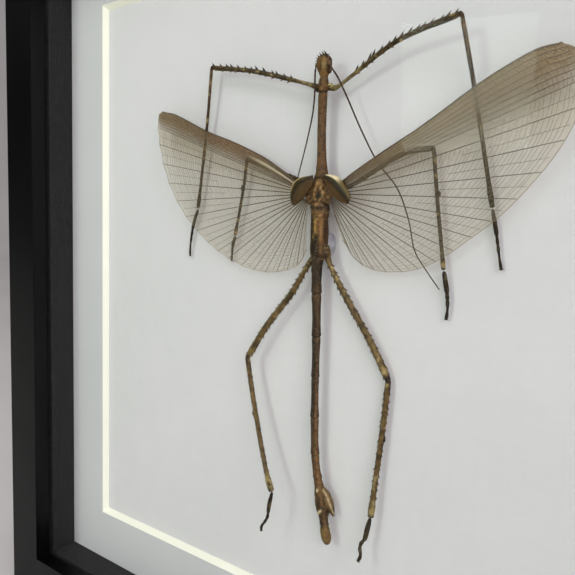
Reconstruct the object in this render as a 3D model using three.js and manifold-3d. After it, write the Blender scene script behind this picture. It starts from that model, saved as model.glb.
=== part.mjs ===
// A winged giant stick insect, spread and fixed in a square black shadow-box frame.
// Millimetres, +Z up. The frame's front faces -Y. The origin is the middle of the frame's foot.

import * as THREE from 'three';
import { mergeVertices } from 'three/addons/utils/BufferGeometryUtils.js';
import Module from 'manifold-3d';

const wasm = await Module();
wasm.setup();

// ---- Driving dimensions of the case ----

const windowSize = 203.2; // square opening of the mat
const matBorder = 19.6; // mat that shows round the opening
const railFace = 17.4; // width of a rail seen from the front
const caseDepth = 36; // front to back
const lipDepth = 5.7; // front lip of a rail, front to back
const lipOverlap = 5.8; // how far the lip reaches over the glass
const glassThickness = 1.85;
const linerDepth = 10.25; // spacer between the glass and the mat
const linerThickness = 5.4;
const matThickness = 1.8;
const backingThickness = 5;
const panelThickness = 2.5;
const fitGap = 0.05; // between pieces that lie against each other
const edgeGap = 0.25; // between a sheet's edge and the rebate that holds it

const sightHalf = windowSize / 2 + matBorder;
const caseHalf = sightHalf + railFace;
const rebateHalf = sightHalf + lipOverlap;
const caseMiddle = caseHalf; // height of the case's centre above its foot
const frontFace = -caseDepth / 2;
const backFace = caseDepth / 2;
const glassFront = frontFace + lipDepth + fitGap;
const linerFront = glassFront + glassThickness + fitGap;
const matFront = linerFront + linerDepth + fitGap;
const backingFront = matFront + matThickness + fitGap;
const panelFront = backingFront + backingThickness + fitGap;
const panelBack = panelFront + panelThickness;

// ---- Driving dimensions of the insect ----
// A place on the insect is [x, height, z]: height is how far it stands off the backing.

const jointGap = 0.06; // between two pieces of the insect

// Middle line of the body, head to tail.
const bodyLine = [
  [2.8, 6.2, 205.5], [2.5, 5.6, 199.2], [1.95, 4.9, 195], [1.62, 4.4, 184], [2.2, 4.5, 171],
  [1.95, 4.5, 160], [2.05, 4.4, 153], [1.5, 4.3, 147.5], [2.0, 4.2, 124.6], [2.25, 4.1, 104],
  [2.95, 3.9, 88], [4.25, 3.8, 80.5], [6.25, 3.8, 72], [7.15, 3.75, 66.5], [8.4, 3.7, 61.5],
];

// Rings of the body, each [z, half width, half depth].
const skull = [
  [199.0, 1.05, 1.05], [199.8, 1.35, 1.4], [200.8, 1.9, 1.75], [202, 2.15, 1.9], [203.3, 2.15, 1.85],
  [204.2, 1.8, 1.6], [204.9, 1.2, 1.2], [205.3, 0.5, 0.7],
];
const prothorax = [[198.94, 1.25, 1.1], [198.2, 1.45, 1.3], [196.6, 1.6, 1.4], [195.06, 1.3, 1.2]];
const mesothorax = [
  [195, 1.35, 1.3], [193.6, 1.3, 1.3], [188, 1.26, 1.25], [180, 1.3, 1.25], [176, 1.42, 1.35],
  [173.2, 1.8, 1.65], [170.66, 2.3, 2.1],
];
const metathorax = [
  [170.6, 2.35, 2.2], [168, 2.6, 2.4], [164, 2.7, 2.5], [160.5, 2.45, 2.5], [156, 2.7, 2.5],
  [151.5, 2.6, 2.4], [148.56, 2.0, 1.9],
];
const club = [
  [81.5, 1.27, 1.3], [78, 1.58, 1.5], [74.5, 2.1, 1.85], [72, 2.0, 1.8], [70.5, 1.55, 1.5], [67.46, 1.3, 1.3],
];
const tailEnd = [
  [67.4, 1.25, 1.2], [66.6, 1.45, 1.35], [64.5, 1.58, 1.4], [62.9, 1.25, 1.2], [61.9, 0.7, 0.8],
];

// Where each ring of the abdomen starts, and its half width there.
const abdomenRings = [
  [148.4, 1.8], [137.4, 1.47], [124.6, 1.32], [112.2, 1.15], [100, 1.26], [88.5, 1.25], [81.5, 1.3],
];

// Swelling along a ring of the abdomen, as [share of its length, share of its width].
const abdomenSwell = [[0, 0.94], [0.06, 1.02], [0.3, 0.93], [0.7, 0.93], [0.92, 1.04], [1, 0.98]];
const abdomenDepth = 0.95; // depth as a share of the width

// The boat-shaped plate that swings out of the club to the right, each [x, height, z] and its half width.
const boatLine = [[4.6, 3.6, 79.6], [6.6, 3.3, 76.8], [8.05, 3.1, 74], [8.95, 3.0, 72.2], [9.6, 3.0, 71.0]];
const boatHalf = [0.7, 1.4, 1.5, 0.9, 0.3];
const boatDepth = 1.15; // depth as a share of the width

// Hooked thorns of the crown, each [places right of the middle line, z], and the thorns of the left cheek.
const crownHooks = [[-0.8, 203.9], [0, 204.1], [0.9, 204.1], [1.65, 203.95]];
const crownHook = { forward: 0.5, lean: [-0.45, -0.25, 0.8], length: 1.6, radius: 0.3 };
const cheekThorns = [204, 203.4, 202.6];
const cheekThorn = { right: -1.6, forward: 0.4, lean: [-0.85, -0.4, 0.35], length: 1.0, radius: 0.26 };

const eyeSpot = [1.65, 200.6];
const socketSpot = [1.75, 203.3];
const socketRadius = 0.55;
const eyeRadius = 0.85;
const eyeShares = [0.75, 0.9, 1]; // across, out and along, as shares of the radius
const antennaRadius = 0.27;
const antennaStep = 3.5; // between the rings of a feeler
const antennaTaper = [1.7, 1.05, 0.93]; // first joint, then root and tip, as shares of the radius

// Each leg: the middle line of its thigh (femur), shank (tibia) and foot (tarsus), half widths, the knob at
// the hip as a share of the thigh, and the thorns on both edges of the thigh as [count, from, to, length].
const legs = {
  fore_left: {
    femur: [[0.9, 4.4, 196.6], [-6.2, 4.2, 199.1], [-24.3, 4.3, 204.6], [-41.6, 4.3, 208.5]],
    tibia: [[-42.0, 4.2, 207.4], [-44.6, 3.1, 189.4], [-49.0, 2.1, 163.2]],
    tarsus: [[-49.2, 2.0, 162.2], [-51.3, 1.8, 157.6], [-53.2, 1.4, 150], [-53.6, 1.1, 146]],
    thigh: 0.62, shank: 0.52, foot: 0.46, knob: 1.2,
    thorns: { outer: [13, 0.3, 0.97, 1.0], inner: [10, 0.34, 0.94, 0.55] },
  },
  fore_right: {
    femur: [
      [3.2, 4.4, 196.7], [6.4, 4.4, 196.7], [10.3, 4.6, 198.3], [24.7, 6.5, 205.0], [42.0, 8.3, 208.7],
    ],
    tibia: [[42.4, 8.1, 207.6], [45.0, 5.0, 192.2], [50.2, 1.9, 163.2]],
    tarsus: [[50.4, 1.8, 162.2], [51.6, 1.6, 156.5], [52.6, 1.4, 150.7], [53.2, 1.1, 147.4]],
    thigh: 0.62, shank: 0.52, foot: 0.46, knob: 1.2,
    thorns: { outer: [15, 0.27, 0.97, 1.0], inner: [5, 0.27, 0.42, 0.7] },
  },
  middle_left: {
    femur: [[0.6, 3.4, 168.8], [-8.5, 2.9, 171.5], [-27.2, 2.7, 178.8]],
    tibia: [[-27.6, 2.6, 177.6], [-28.4, 2.5, 170.5], [-32.0, 2.1, 154.3]],
    tarsus: [[-32.2, 2.0, 153.4], [-33.3, 1.8, 150.5], [-34.2, 1.2, 145.3]],
    thigh: 0.62, shank: 0.5, foot: 0.44, knob: 1.5,
    thorns: { outer: [6, 0.3, 0.96, 0.5], inner: [6, 0.3, 0.94, 0.5] },
  },
  middle_right: {
    femur: [[3.2, 3.4, 168.2], [9.6, 2.9, 168.4], [26.8, 2.7, 177.1], [34.6, 2.7, 178.4]],
    tibia: [[35.0, 2.6, 177.2], [36.5, 2.6, 164.4], [38.9, 2.4, 147.2]],
    tarsus: [[39.1, 2.2, 146.2], [40.2, 1.9, 140.2], [40.4, 1.6, 136.3], [40.0, 1.2, 133.6]],
    thigh: 0.62, shank: 0.5, foot: 0.56, knob: 1.5,
    thorns: { outer: [6, 0.3, 0.96, 0.5], inner: [6, 0.3, 0.94, 0.5] },
  },
  hind_left: {
    femur: [
      [0.3, 3.0, 149.6], [-2.9, 3.9, 144.2], [-6.9, 4.3, 137.4], [-16.3, 4.8, 125.5], [-22.9, 5.4, 115.3],
    ],
    tibia: [
      [-23.0, 5.5, 114.2], [-20.2, 6.1, 104.3], [-13.2, 8.1, 83.8], [-10.7, 9.0, 78.6], [-9.4, 9.2, 76.0],
    ],
    tarsus: [
      [-9.0, 9.2, 75.1], [-9.8, 9.3, 71.4], [-10.2, 9.4, 68.0], [-10.5, 9.5, 66.4], [-11.6, 9.5, 64.6],
      [-12.4, 9.6, 63.2], [-12.5, 9.6, 61.8],
    ],
    thigh: 0.88, shank: 0.8, foot: 0.5, knob: 0.8,
    thorns: { outer: [8, 0.28, 0.96, 0.55], inner: [8, 0.28, 0.94, 0.55] },
  },
  hind_right: {
    femur: [
      [3.9, 4.0, 151.4], [5.5, 4.1, 146.8], [9.4, 3.6, 139.9], [20.1, 2.4, 123.3], [24.7, 2.0, 115.3],
    ],
    tibia: [[24.9, 2.0, 114.2], [24.0, 2.2, 102.5], [22.6, 3.1, 83.5], [22.1, 3.5, 75.4]],
    tarsus: [
      [21.9, 3.6, 74.4], [21.5, 4.2, 71.4], [21.0, 4.8, 68.3], [20.2, 5.2, 67.0], [20.1, 5.7, 65.6],
      [20.6, 6.1, 64.6], [20.7, 6.5, 63.5], [20.2, 6.8, 62.4],
    ],
    thigh: 0.88, shank: 0.8, foot: 0.58, knob: 1.4,
    thorns: { outer: [8, 0.28, 0.96, 0.55], inner: [8, 0.28, 0.94, 0.55] },
  },
};
const shankThorns = [6, 0.1, 0.84, 0.42]; // on both edges of a hind shank
// Where a leaf-like lobe stands on the outer edge of a shank.
const lobeShare = { middle: 0.38, hind: 0.42 };
const lobeSize = [0.5, 0.43, 0.93];
const claw = { share: 0.96, spread: 0.9, length: 1.0, radius: 0.25 };

// Each feeler runs back from the head; the right one ends past the wing's lower edge.
const antennae = {
  left: [[1.0, 6.1, 203.4], [0.3, 6.5, 201.9], [0.2, 6.7, 198.6], [0.1, 6.4, 195.3], [-0.9, 5.6, 189.4],
    [-3.1, 4.7, 182.3], [-5.2, 4.3, 175.5], [-7.0, 4.2, 169.5]],
  right: [[4.6, 6.5, 203.1], [5.6, 7.0, 201.2], [7.5, 6.6, 198.4], [10.0, 5.6, 193.2], [14.9, 4.7, 183.1],
    [19.9, 4.3, 174.6], [25.5, 3.6, 167.8], [28.9, 3.0, 159.6], [31.2, 2.9, 151], [34.5, 3.1, 146.4],
    [38.6, 3.6, 141.6]],
};

// Each hind wing turns about its hinge [x, z]. The leading edge is given as [reach, degrees above level],
// and the rest of the outline, from the tip round to the body, as [degrees above level, reach].
const wings = {
  left: {
    side: -1,
    hinge: [-1.2, 166.5],
    leading: [[5, 37], [16.6, 35], [28.3, 31.2], [47.2, 27.2], [61.5, 26.6], [68.6, 25.4]],
    outline: [[25.4, 68.6], [24, 70], [21, 69.6], [18.4, 68.2], [7.6, 61.8], [-3.3, 54.7], [-18.2, 45.2],
      [-34.2, 37.1], [-50.9, 30.6], [-65.2, 25.7], [-79.6, 21], [-86, 16.5]],
  },
  right: {
    side: 1,
    hinge: [5.0, 166.5],
    leading: [[5, 35], [17.6, 32.6], [31.9, 31], [47.9, 31.4], [58, 30.8], [63.4, 30], [67.5, 28.6]],
    outline: [[28.6, 67.5], [26.3, 69.2], [22, 69.6], [18, 67.8], [13.8, 65.2], [7.6, 60.1], [0.8, 54.2],
      [-7.4, 48.2], [-16.9, 42.1], [-34.6, 34.7], [-45.4, 29.8], [-55.3, 25.4], [-63.5, 20.7],
      [-70.8, 14.2]],
  },
};
const fanStart = 20.5; // degrees above level where the stiff front strip ends and the fan begins
const wingThickness = 0.5;
const wingBaseHeight = 5.5;
const wingEdgeDroop = 1.5; // how much lower the rear margin lies
const frontDroop = 0.35; // share of that droop at the leading edge
const frontLift = { rise: 0.9, run: 0.6 }; // how the leading edge arches up between the hinge and the tip
const rearTurn = 50; // degrees below the first fold over which the droop grows to its full depth
const pleatDepth = 0.22;
const pleats = 14; // folds of the fan
const fanRoot = 1.2; // where the wing's plate starts, from the hinge
const stripGrid = [4, 8]; // cells across and along the front strip
const fanSteps = 4; // cells along the fan
const tegmenGrid = [5, 7]; // cells across and along a fore wing
const panelSlit = 0.12; // degrees left open each side of the line between strip and fan
// Swelling of the body where a wing turns.
const hingeLump = { half: [1.5, 1.0, 1.9], height: 5.5, z: 165.2 };

// The two edges of each fore wing, from the body to its tip, as [x, z].
const tegmina = {
  left: {
    outer: [[0.6, 171.7], [-3.3, 171.1], [-5.3, 170.0], [-6.6, 167.3], [-6.8, 165.2], [-6.3, 163.7]],
    inner: [[1.0, 170.6], [0.6, 169.0], [-0.4, 167.3], [-2.7, 164.9], [-4.6, 163.6], [-5.7, 163.2]],
  },
  right: {
    outer: [
      [4.5, 171.8], [7.6, 171.5], [9.9, 170.5], [11.6, 168.5], [12.8, 166.6], [13.2, 165.2], [12.7, 164.0],
    ],
    inner: [[4.2, 170.6], [5.6, 168.3], [7.2, 166.0], [9.5, 164.5], [11.2, 163.8], [12.2, 163.4]],
  },
};
const tegmenHeight = 6.35;
const tegmenCrest = [[0, 0], [0.6, 0.95], [1, 0.2]]; // height added from the inner edge to the outer
const tegmenArch = 0.5; // height added halfway along
const tegmenHump = [0.15, 0.9]; // shares of half a wave that the crest follows, from root to tip

const glueSpot = [2.9, 151.8];
const glueHalf = [2.2, 3.9, 3.2]; // across, up and out from the backing
const glueFacets = [12, 6]; // round and down the bead

// ---- Finishes ----

const finish = (color, roughness, metalness = 0) => ({ color, roughness, metalness });
const finishes = {
  frame: finish(0x1b1c1a, 0.45),
  liner: finish(0x2e2e2d, 0.85),
  glass: finish(0xdfe8e6, 0.05),
  mat: finish(0xd4d6d3, 0.9),
  backing: finish(0xdcdcd8, 0.9),
  panel: finish(0x6f5238, 0.8),
  steel: finish(0xa8a9a7, 0.35, 1),
  cuticle: finish(0x6b4a2a, 0.5),
  abdomen: finish(0x4d3520, 0.45),
  legs: finish(0x6a5436, 0.55),
  feet: finish(0x3a2f20, 0.5),
  eyes: finish(0x3a1f12, 0.2),
  feelers: finish(0x3b2a22, 0.5),
  tegmen: finish(0x4a3a22, 0.5),
  costal: finish(0x7a5d38, 0.5),
  membrane: finish(0xa79a85, 0.35),
  glue: finish(0xb9bcc0, 0.1),
};

const model = new THREE.Group();

function addPiece(name, geometry, finishName) {
  geometry.computeVertexNormals();
  const mesh = new THREE.Mesh(geometry, new THREE.MeshStandardMaterial(finishes[finishName]));
  mesh.name = name;
  model.add(mesh);
  return mesh;
}

// ---- Making and joining solids ----

function shared(geometry) {
  geometry.deleteAttribute('normal');
  geometry.deleteAttribute('uv');
  return mergeVertices(geometry, 1e-5);
}

function toSolid(geometry) {
  const clean = shared(geometry.clone());
  const vertProperties = new Float32Array(clean.attributes.position.array);
  const triVerts = new Uint32Array(clean.index.array);
  const solid = new wasm.Manifold(new wasm.Mesh({ numProp: 3, vertProperties, triVerts }));
  return solid.volume() < 0 ? toSolid(flipped(clean)) : solid;
}

function flipped(geometry) {
  const index = geometry.index.array;
  for (let i = 0; i < index.length; i += 3) {
    [index[i + 1], index[i + 2]] = [index[i + 2], index[i + 1]];
  }
  return geometry;
}

function toGeometry(solid) {
  const mesh = solid.getMesh();
  const geometry = new THREE.BufferGeometry();
  geometry.setAttribute('position', new THREE.BufferAttribute(new Float32Array(mesh.vertProperties), 3));
  geometry.setIndex(new THREE.BufferAttribute(new Uint32Array(mesh.triVerts), 1));
  return geometry;
}

const joined = (first, ...rest) => rest.reduce((solid, next) => solid.add(toSolid(next)), toSolid(first));
const largest = (solid) => solid.decompose().sort((a, b) => b.volume() - a.volume())[0];
const place = ([x, height, z]) => new THREE.Vector3(x, backingFront - height, z);
const routeOf = (places) => new THREE.CatmullRomCurve3(places.map(place), false, 'centripetal');
const mix = THREE.MathUtils.lerp;

// Reads a value between the rows of a table of [where, value], held level past its ends.
function between(table, where) {
  const rising = table[0][0] < table[table.length - 1][0] ? 1 : -1;
  const next = table.findIndex((row) => (row[0] - where) * rising >= 0);
  if (next === 0) return table[0][1];
  if (next < 0) return table[table.length - 1][1];
  const [from, low] = table[next - 1];
  const [to, high] = table[next];
  return mix(low, high, (where - from) / (to - from));
}

// A ring square to a route at the share t of its length: half width across, half depth front to back.
function ringOn(route, t, wide, deep) {
  return { centre: route.getPointAt(t), along: route.getTangentAt(t), wide, deep };
}

const acrossOf = (along) => along.clone().cross(new THREE.Vector3(0, -1, 0)).normalize();

// A closed tube through rings, which may be grown all over to cut room for it in a neighbour.
function loft(rings, sides, grow = 0) {
  const steps = rings.length - 1;
  const tube = shared(new THREE.CylinderGeometry(1, 1, 1, sides, steps));
  const spots = tube.attributes.position;
  for (let i = 0; i < spots.count; i += 1) {
    const k = Math.round((0.5 - spots.getY(i)) * steps);
    const ring = rings[k];
    const across = acrossOf(ring.along);
    const out = ring.along.clone().cross(across);
    const end = k === 0 ? -grow : k === steps ? grow : 0;
    const spot = ring.centre.clone()
      .addScaledVector(across, spots.getX(i) * (ring.wide + grow))
      .addScaledVector(out, spots.getZ(i) * (ring.deep + grow))
      .addScaledVector(ring.along, end);
    spots.setXYZ(i, spot.x, spot.y, spot.z);
  }
  return tube;
}

// An ellipsoid round a place, with its half sizes across, front to back and up.
function ball(centre, half, around = 7, down = 5) {
  const solid = new THREE.SphereGeometry(1, around, down);
  solid.scale(...half);
  solid.translate(centre.x, centre.y, centre.z);
  return solid;
}

// A three-sided thorn that stands on a place and leans along a direction.
function thorn(foot, direction, length, radius) {
  const cone = new THREE.ConeGeometry(radius, length, 3);
  cone.translate(0, length / 2, 0);
  cone.applyQuaternion(new THREE.Quaternion().setFromUnitVectors(new THREE.Vector3(0, 1, 0), direction));
  cone.translate(foot.x, foot.y, foot.z);
  return cone;
}

function box(x0, x1, y0, y1, z0, z1) {
  const geometry = new THREE.BoxGeometry(x1 - x0, y1 - y0, z1 - z0);
  geometry.translate((x0 + x1) / 2, (y0 + y1) / 2, (z0 + z1) / 2);
  return geometry;
}

// ---- The case ----

// One side of a square frame with 45 degree ends. The section is given as [inset from the outer edge, y].
function mitred(section, outerHalf, side) {
  const shape = new THREE.Shape(section.map(([inset, y]) => new THREE.Vector2(inset, y)));
  const bar = shared(new THREE.ExtrudeGeometry(shape, { depth: 1, bevelEnabled: false }));
  const spots = bar.attributes.position;
  for (let i = 0; i < spots.count; i += 1) {
    const inset = spots.getX(i);
    const reach = outerHalf - inset - fitGap;
    spots.setXYZ(i, mix(-reach, reach, spots.getZ(i)), spots.getY(i), inset - outerHalf);
  }
  bar.rotateY(side * Math.PI / 2);
  bar.translate(0, 0, caseMiddle);
  return toGeometry(toSolid(bar));
}

const sideNames = ['bottom', 'left', 'top', 'right'];

function addRails() {
  const wall = railFace - lipOverlap;
  const lipBack = frontFace + lipDepth;
  const section = [
    [0, frontFace], [railFace, frontFace], [railFace, lipBack],
    [wall, lipBack], [wall, backFace], [0, backFace],
  ];
  sideNames.forEach((name, side) => addPiece(`rail_${name}`, mitred(section, caseHalf, side), 'frame'));
}

function addLiner() {
  const outer = sightHalf + linerThickness;
  const linerBack = linerFront + linerDepth;
  const section = [
    [0, linerFront], [linerThickness, linerFront], [linerThickness, linerBack], [0, linerBack],
  ];
  sideNames.forEach((name, side) => addPiece(`liner_${name}`, mitred(section, outer, side), 'liner'));
}

function sheet(y, thickness) {
  const half = rebateHalf - edgeGap;
  return box(-half, half, y, y + thickness, caseMiddle - half, caseMiddle + half);
}

// The mat's opening is cut at 45 degrees, so that its bevel faces the viewer.
function addMat() {
  const overcut = 1;
  const frontHalf = windowSize / 2 + overcut;
  const backHalf = windowSize / 2 - matThickness - overcut;
  const toCorner = Math.SQRT2;
  const height = matThickness + 2 * overcut;
  const cutter = new THREE.CylinderGeometry(toCorner * backHalf, toCorner * frontHalf, height, 4, 1);
  cutter.rotateY(Math.PI / 4);
  cutter.translate(0, matFront + matThickness / 2, caseMiddle);
  addPiece('mat', toGeometry(toSolid(sheet(matFront, matThickness)).subtract(toSolid(cutter))), 'mat');
}

// Bent steel points hold the back panel, one to each rail.
function addTabs() {
  const tabLength = 14;
  const tabWidth = 9;
  const tabThickness = 0.6;
  const tabY = panelBack + fitGap;
  sideNames.forEach((name, side) => {
    const inner = rebateHalf - fitGap - tabLength;
    const tab = box(-tabWidth / 2, tabWidth / 2, tabY, tabY + tabThickness, -rebateHalf + fitGap, -inner);
    tab.rotateY(side * Math.PI / 2);
    tab.translate(0, 0, caseMiddle);
    addPiece(`tab_${name}`, tab, 'steel');
  });
}

// A saw-toothed hanger on the back panel, within the depth of the rails.
function addHanger() {
  const width = 44;
  const tall = 8;
  const thickness = 1.2;
  const aboveMiddle = 92;
  const teeth = 9;
  const toothDepth = 1.6;
  const bridge = 26;
  const tooth = bridge / teeth;
  const plate = new THREE.Shape();
  plate.moveTo(-width / 2, 0);
  for (let i = 0; i < teeth; i += 1) {
    const left = -bridge / 2 + tooth * i;
    plate.lineTo(left, 0);
    plate.lineTo(left + tooth / 2, toothDepth);
  }
  plate.lineTo(bridge / 2, 0);
  plate.lineTo(width / 2, 0);
  plate.lineTo(width / 2, tall);
  plate.lineTo(-width / 2, tall);
  const strip = new THREE.ExtrudeGeometry(plate, { depth: thickness, bevelEnabled: false });
  strip.rotateX(Math.PI / 2);
  strip.translate(0, panelBack + fitGap + thickness, caseMiddle + aboveMiddle);
  addPiece('hanger', toGeometry(toSolid(strip)), 'steel');
}

// ---- The body ----

const middle = routeOf(bodyLine);
const middleSteps = 400;
const middleHeights = middle.getSpacedPoints(middleSteps).map((spot, k) => [spot.z, k / middleSteps]);

const bodyShare = (z) => between(middleHeights, z);
const bodyAt = (z) => middle.getPointAt(bodyShare(z));
const bodyRing = ([z, wide, deep]) => ringOn(middle, bodyShare(z), wide, deep);

const trunkSides = 10;
const trunk = {
  prothorax: prothorax.map(bodyRing),
  mesothorax: mesothorax.map(bodyRing),
  metathorax: metathorax.map(bodyRing),
};

// The swelling of the thorax in which a hind wing turns.
function lumpAt({ hinge }, grow = 0) {
  const [across, out, down] = hingeLump.half;
  const spot = place([hinge[0], hingeLump.height, hingeLump.z]);
  return ball(spot, [across + grow, out + grow, down + grow]);
}

function addThorax() {
  const lumps = Object.values(wings).map((wing) => lumpAt(wing));
  for (const [name, rings] of Object.entries(trunk)) {
    const segment = loft(rings, trunkSides);
    const whole = name === 'metathorax' ? toGeometry(joined(segment, ...lumps)) : segment;
    addPiece(name, whole, 'cuticle');
  }
}

// Cuts away what would reach into the trunk or the first ring of the abdomen, and keeps the largest piece.
function clearOfTrunk(solid) {
  const tubes = [...Object.values(trunk), abdomenLoft(0)].map((rings) => loft(rings, trunkSides, jointGap));
  const lumps = Object.values(wings).map((wing) => lumpAt(wing, jointGap));
  return largest([...tubes, ...lumps].reduce((rest, body) => rest.subtract(toSolid(body)), solid));
}

// A place on the head, given how far right of the middle line and how far forward of it.
const headAt = (right, forward, z) => bodyAt(z).add(new THREE.Vector3(right, -forward, 0));

function headThorn({ forward, lean, length, radius }, right, z) {
  return thorn(headAt(right, forward, z), new THREE.Vector3(...lean).normalize(), length, radius);
}

// The skull is an oval with jaws in front, a comb of hooked thorns and a hollow for each eye.
function addHead() {
  const headSides = 12;
  const pieces = [loft(skull.map(bodyRing), headSides)];
  for (const [right, z] of crownHooks) pieces.push(headThorn(crownHook, right, z));
  for (const z of cheekThorns) pieces.push(headThorn(cheekThorn, cheekThorn.right, z));
  for (const side of [-1, 1]) {
    const socket = headAt(side * socketSpot[0], 0, socketSpot[1]);
    pieces.push(ball(socket, [socketRadius, socketRadius, socketRadius], 6, 5));
  }
  let head = joined(...pieces);
  for (const side of ['left', 'right']) {
    head = head.subtract(toSolid(eyeBall(side, jointGap)));
    head = head.subtract(toSolid(feeler(side, jointGap)));
  }
  addPiece('head', toGeometry(largest(head)), 'cuticle');
}

function eyeBall(side, grow = 0) {
  const right = side === 'left' ? -eyeSpot[0] : eyeSpot[0];
  const half = eyeShares.map((share) => share * (eyeRadius + grow));
  return ball(headAt(right, 0, eyeSpot[1]), half, 8, 6);
}

// A feeler tapers to a tip; its first joint is thicker.
function feeler(side, grow = 0) {
  const route = routeOf(antennae[side]);
  const steps = Math.round(route.getLength() / antennaStep);
  const [first, root, tip] = antennaTaper;
  const rings = [];
  for (let i = 0; i <= steps; i += 1) {
    const radius = antennaRadius * (i === 0 ? first : mix(root, tip, i / steps));
    rings.push(ringOn(route, i / steps, radius, radius));
  }
  return loft(rings, 6, grow);
}

function addFaceParts() {
  for (const side of ['left', 'right']) {
    addPiece(`eye_${side}`, eyeBall(side), 'eyes');
    addPiece(`antenna_${side}`, feeler(side), 'feelers');
  }
}

// Each ring of the abdomen is waisted a little between its two joints.
function abdomenLoft(k) {
  const [start, startHalf] = abdomenRings[k];
  const [end, endHalf] = abdomenRings[k + 1];
  return abdomenSwell.map(([share, swell]) => {
    const half = mix(startHalf, endHalf, share) * swell;
    return bodyRing([mix(start, end + jointGap, share), half, half * abdomenDepth]);
  });
}

function addAbdomen() {
  for (let k = 0; k + 1 < abdomenRings.length; k += 1) {
    addPiece(`abdomen_${k + 2}`, loft(abdomenLoft(k), trunkSides), 'abdomen');
  }
}

// The clubbed end with its plate, then the last ring.
function addTail() {
  const route = routeOf(boatLine);
  const last = boatHalf.length - 1;
  const boat = loft(boatHalf.map((half, i) => ringOn(route, i / last, half, half * boatDepth)), 8);
  addPiece('abdomen_8_9', toGeometry(joined(loft(club.map(bodyRing), trunkSides), boat)), 'abdomen');
  addPiece('abdomen_end', loft(tailEnd.map(bodyRing), trunkSides), 'abdomen');
}

// ---- Legs ----

// Half thickness along a thigh past its knob, a shank and a foot, as a share of the leg's own size.
const thighShape = [[0.09, 1.0], [0.16, 0.8], [0.3, 1.0], [0.8, 1.1], [0.95, 1.2], [1, 0.85]];
const shankShape = [[0, 0.95], [0.05, 1.05], [0.15, 1], [0.85, 0.95], [0.95, 1.3], [1, 1.1]];
const footShape = [
  [0, 0.6], [0.05, 1.05], [0.4, 1.2], [0.44, 0.75], [0.54, 1], [0.58, 0.7], [0.67, 0.95], [0.71, 0.65],
  [0.8, 0.6], [0.93, 0.85], [1, 0.6],
];
const hindFootShape = [
  [0, 0.7], [0.04, 0.95], [0.25, 1.3], [0.47, 1.1], [0.51, 0.7], [0.6, 1], [0.66, 0.75], [0.74, 0.95],
  [0.8, 0.7], [0.92, 0.9], [1, 0.7],
];
const knobShape = (knob) => [[0, knob], [0.05, knob * 1.07], ...thighShape];

const thighSides = 7;
const thighRings = 5; // extra rings that follow the bend
const shankSides = 6;
const shankRings = 3;
const footSides = 5;
const ringSpacing = 0.02; // the least share of a limb between two rings
const thornSink = 0.7; // how far out of a limb's middle its thorns stand, as a share of its half width
const thornWidth = 0.32; // half width of a thorn as a share of its length
const thornLean = 0.75;
const lesserThorn = 0.8; // every third thorn of a row is this share of the others' length

function limb(places, shape, size, sides, extraRings = 0, grow = 0) {
  const route = routeOf(places);
  const stops = shape.map((row) => row[0]);
  for (let i = 1; i <= extraRings; i += 1) stops.push(i / (extraRings + 1));
  stops.sort((a, b) => a - b);
  const spaced = stops.filter((t, i) => i === 0 || t === 1 || t - stops[i - 1] > ringSpacing);
  const rings = spaced.map((t) => {
    const half = between(shape, t) * size;
    return ringOn(route, t, half, half);
  });
  return { route, half: size, geometry: loft(rings, sides, grow) };
}

function thighOf({ femur, thigh, knob }, grow = 0) {
  return limb(femur, knobShape(knob), thigh, thighSides, thighRings, grow);
}

// Which way lies outwards from one edge of a limb: edge is 1 or -1.
const outOf = (along, edge) => acrossOf(along).multiplyScalar(edge);

// A row of thorns along one edge of a limb, leaning towards the far end.
function thornRow({ route, half }, edge, [count, from, to, length]) {
  const row = [];
  for (let i = 0; i < count; i += 1) {
    const t = mix(from, to, i / (count - 1));
    const along = route.getTangentAt(t);
    const out = outOf(along, edge);
    const foot = route.getPointAt(t).addScaledVector(out, half * thornSink);
    const size = length * (i % 3 === 1 ? lesserThorn : 1);
    const lean = out.clone().addScaledVector(along, thornLean).normalize();
    row.push(thorn(foot, lean, size, length * thornWidth));
  }
  return row;
}

const bothEdges = (tube, outer, inner) => [...thornRow(tube, 1, outer), ...thornRow(tube, -1, inner)];

// A leaf-like lobe on the outer edge of a shank.
function lobeOn({ route, half }, share, edge) {
  const out = outOf(route.getTangentAt(share), edge);
  return ball(route.getPointAt(share).addScaledVector(out, half), lobeSize);
}

function addLeg(name, leg) {
  const [pair, side] = name.split('_');
  const thigh = thighOf(leg);
  const femur = joined(thigh.geometry, ...bothEdges(thigh, leg.thorns.outer, leg.thorns.inner));
  addPiece(`femur_${name}`, toGeometry(clearOfTrunk(femur)), 'legs');

  const shank = limb(leg.tibia, shankShape, leg.shank, shankSides, shankRings);
  const extras = pair === 'hind' ? bothEdges(shank, shankThorns, shankThorns) : [];
  if (pair in lobeShare) extras.push(lobeOn(shank, lobeShare[pair], side === 'left' ? 1 : -1));
  addPiece(`tibia_${name}`, toGeometry(joined(shank.geometry, ...extras)), 'legs');

  const foot = limb(leg.tarsus, pair === 'hind' ? hindFootShape : footShape, leg.foot, footSides);
  const end = foot.route.getPointAt(claw.share);
  const ahead = foot.route.getTangentAt(1);
  const claws = [-1, 1].map((edge) => {
    const lean = ahead.clone().addScaledVector(outOf(ahead, edge), claw.spread).normalize();
    return thorn(end, lean, claw.length, claw.radius);
  });
  addPiece(`tarsus_${name}`, toGeometry(joined(foot.geometry, ...claws)), 'feet');
}

// ---- Wings ----

// Height of a hind wing over the backing: the front edge stays up and the rear margin droops.
// front is 1 at the leading edge and 0 at the fan; rear is 0 there and 1 near the body.
function wingHeight(share, front, rear) {
  const lift = front * Math.sin(share * Math.PI * frontLift.run) * frontLift.rise;
  return wingBaseHeight + lift - wingEdgeDroop * share * share * Math.min(1, frontDroop + rear);
}

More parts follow.
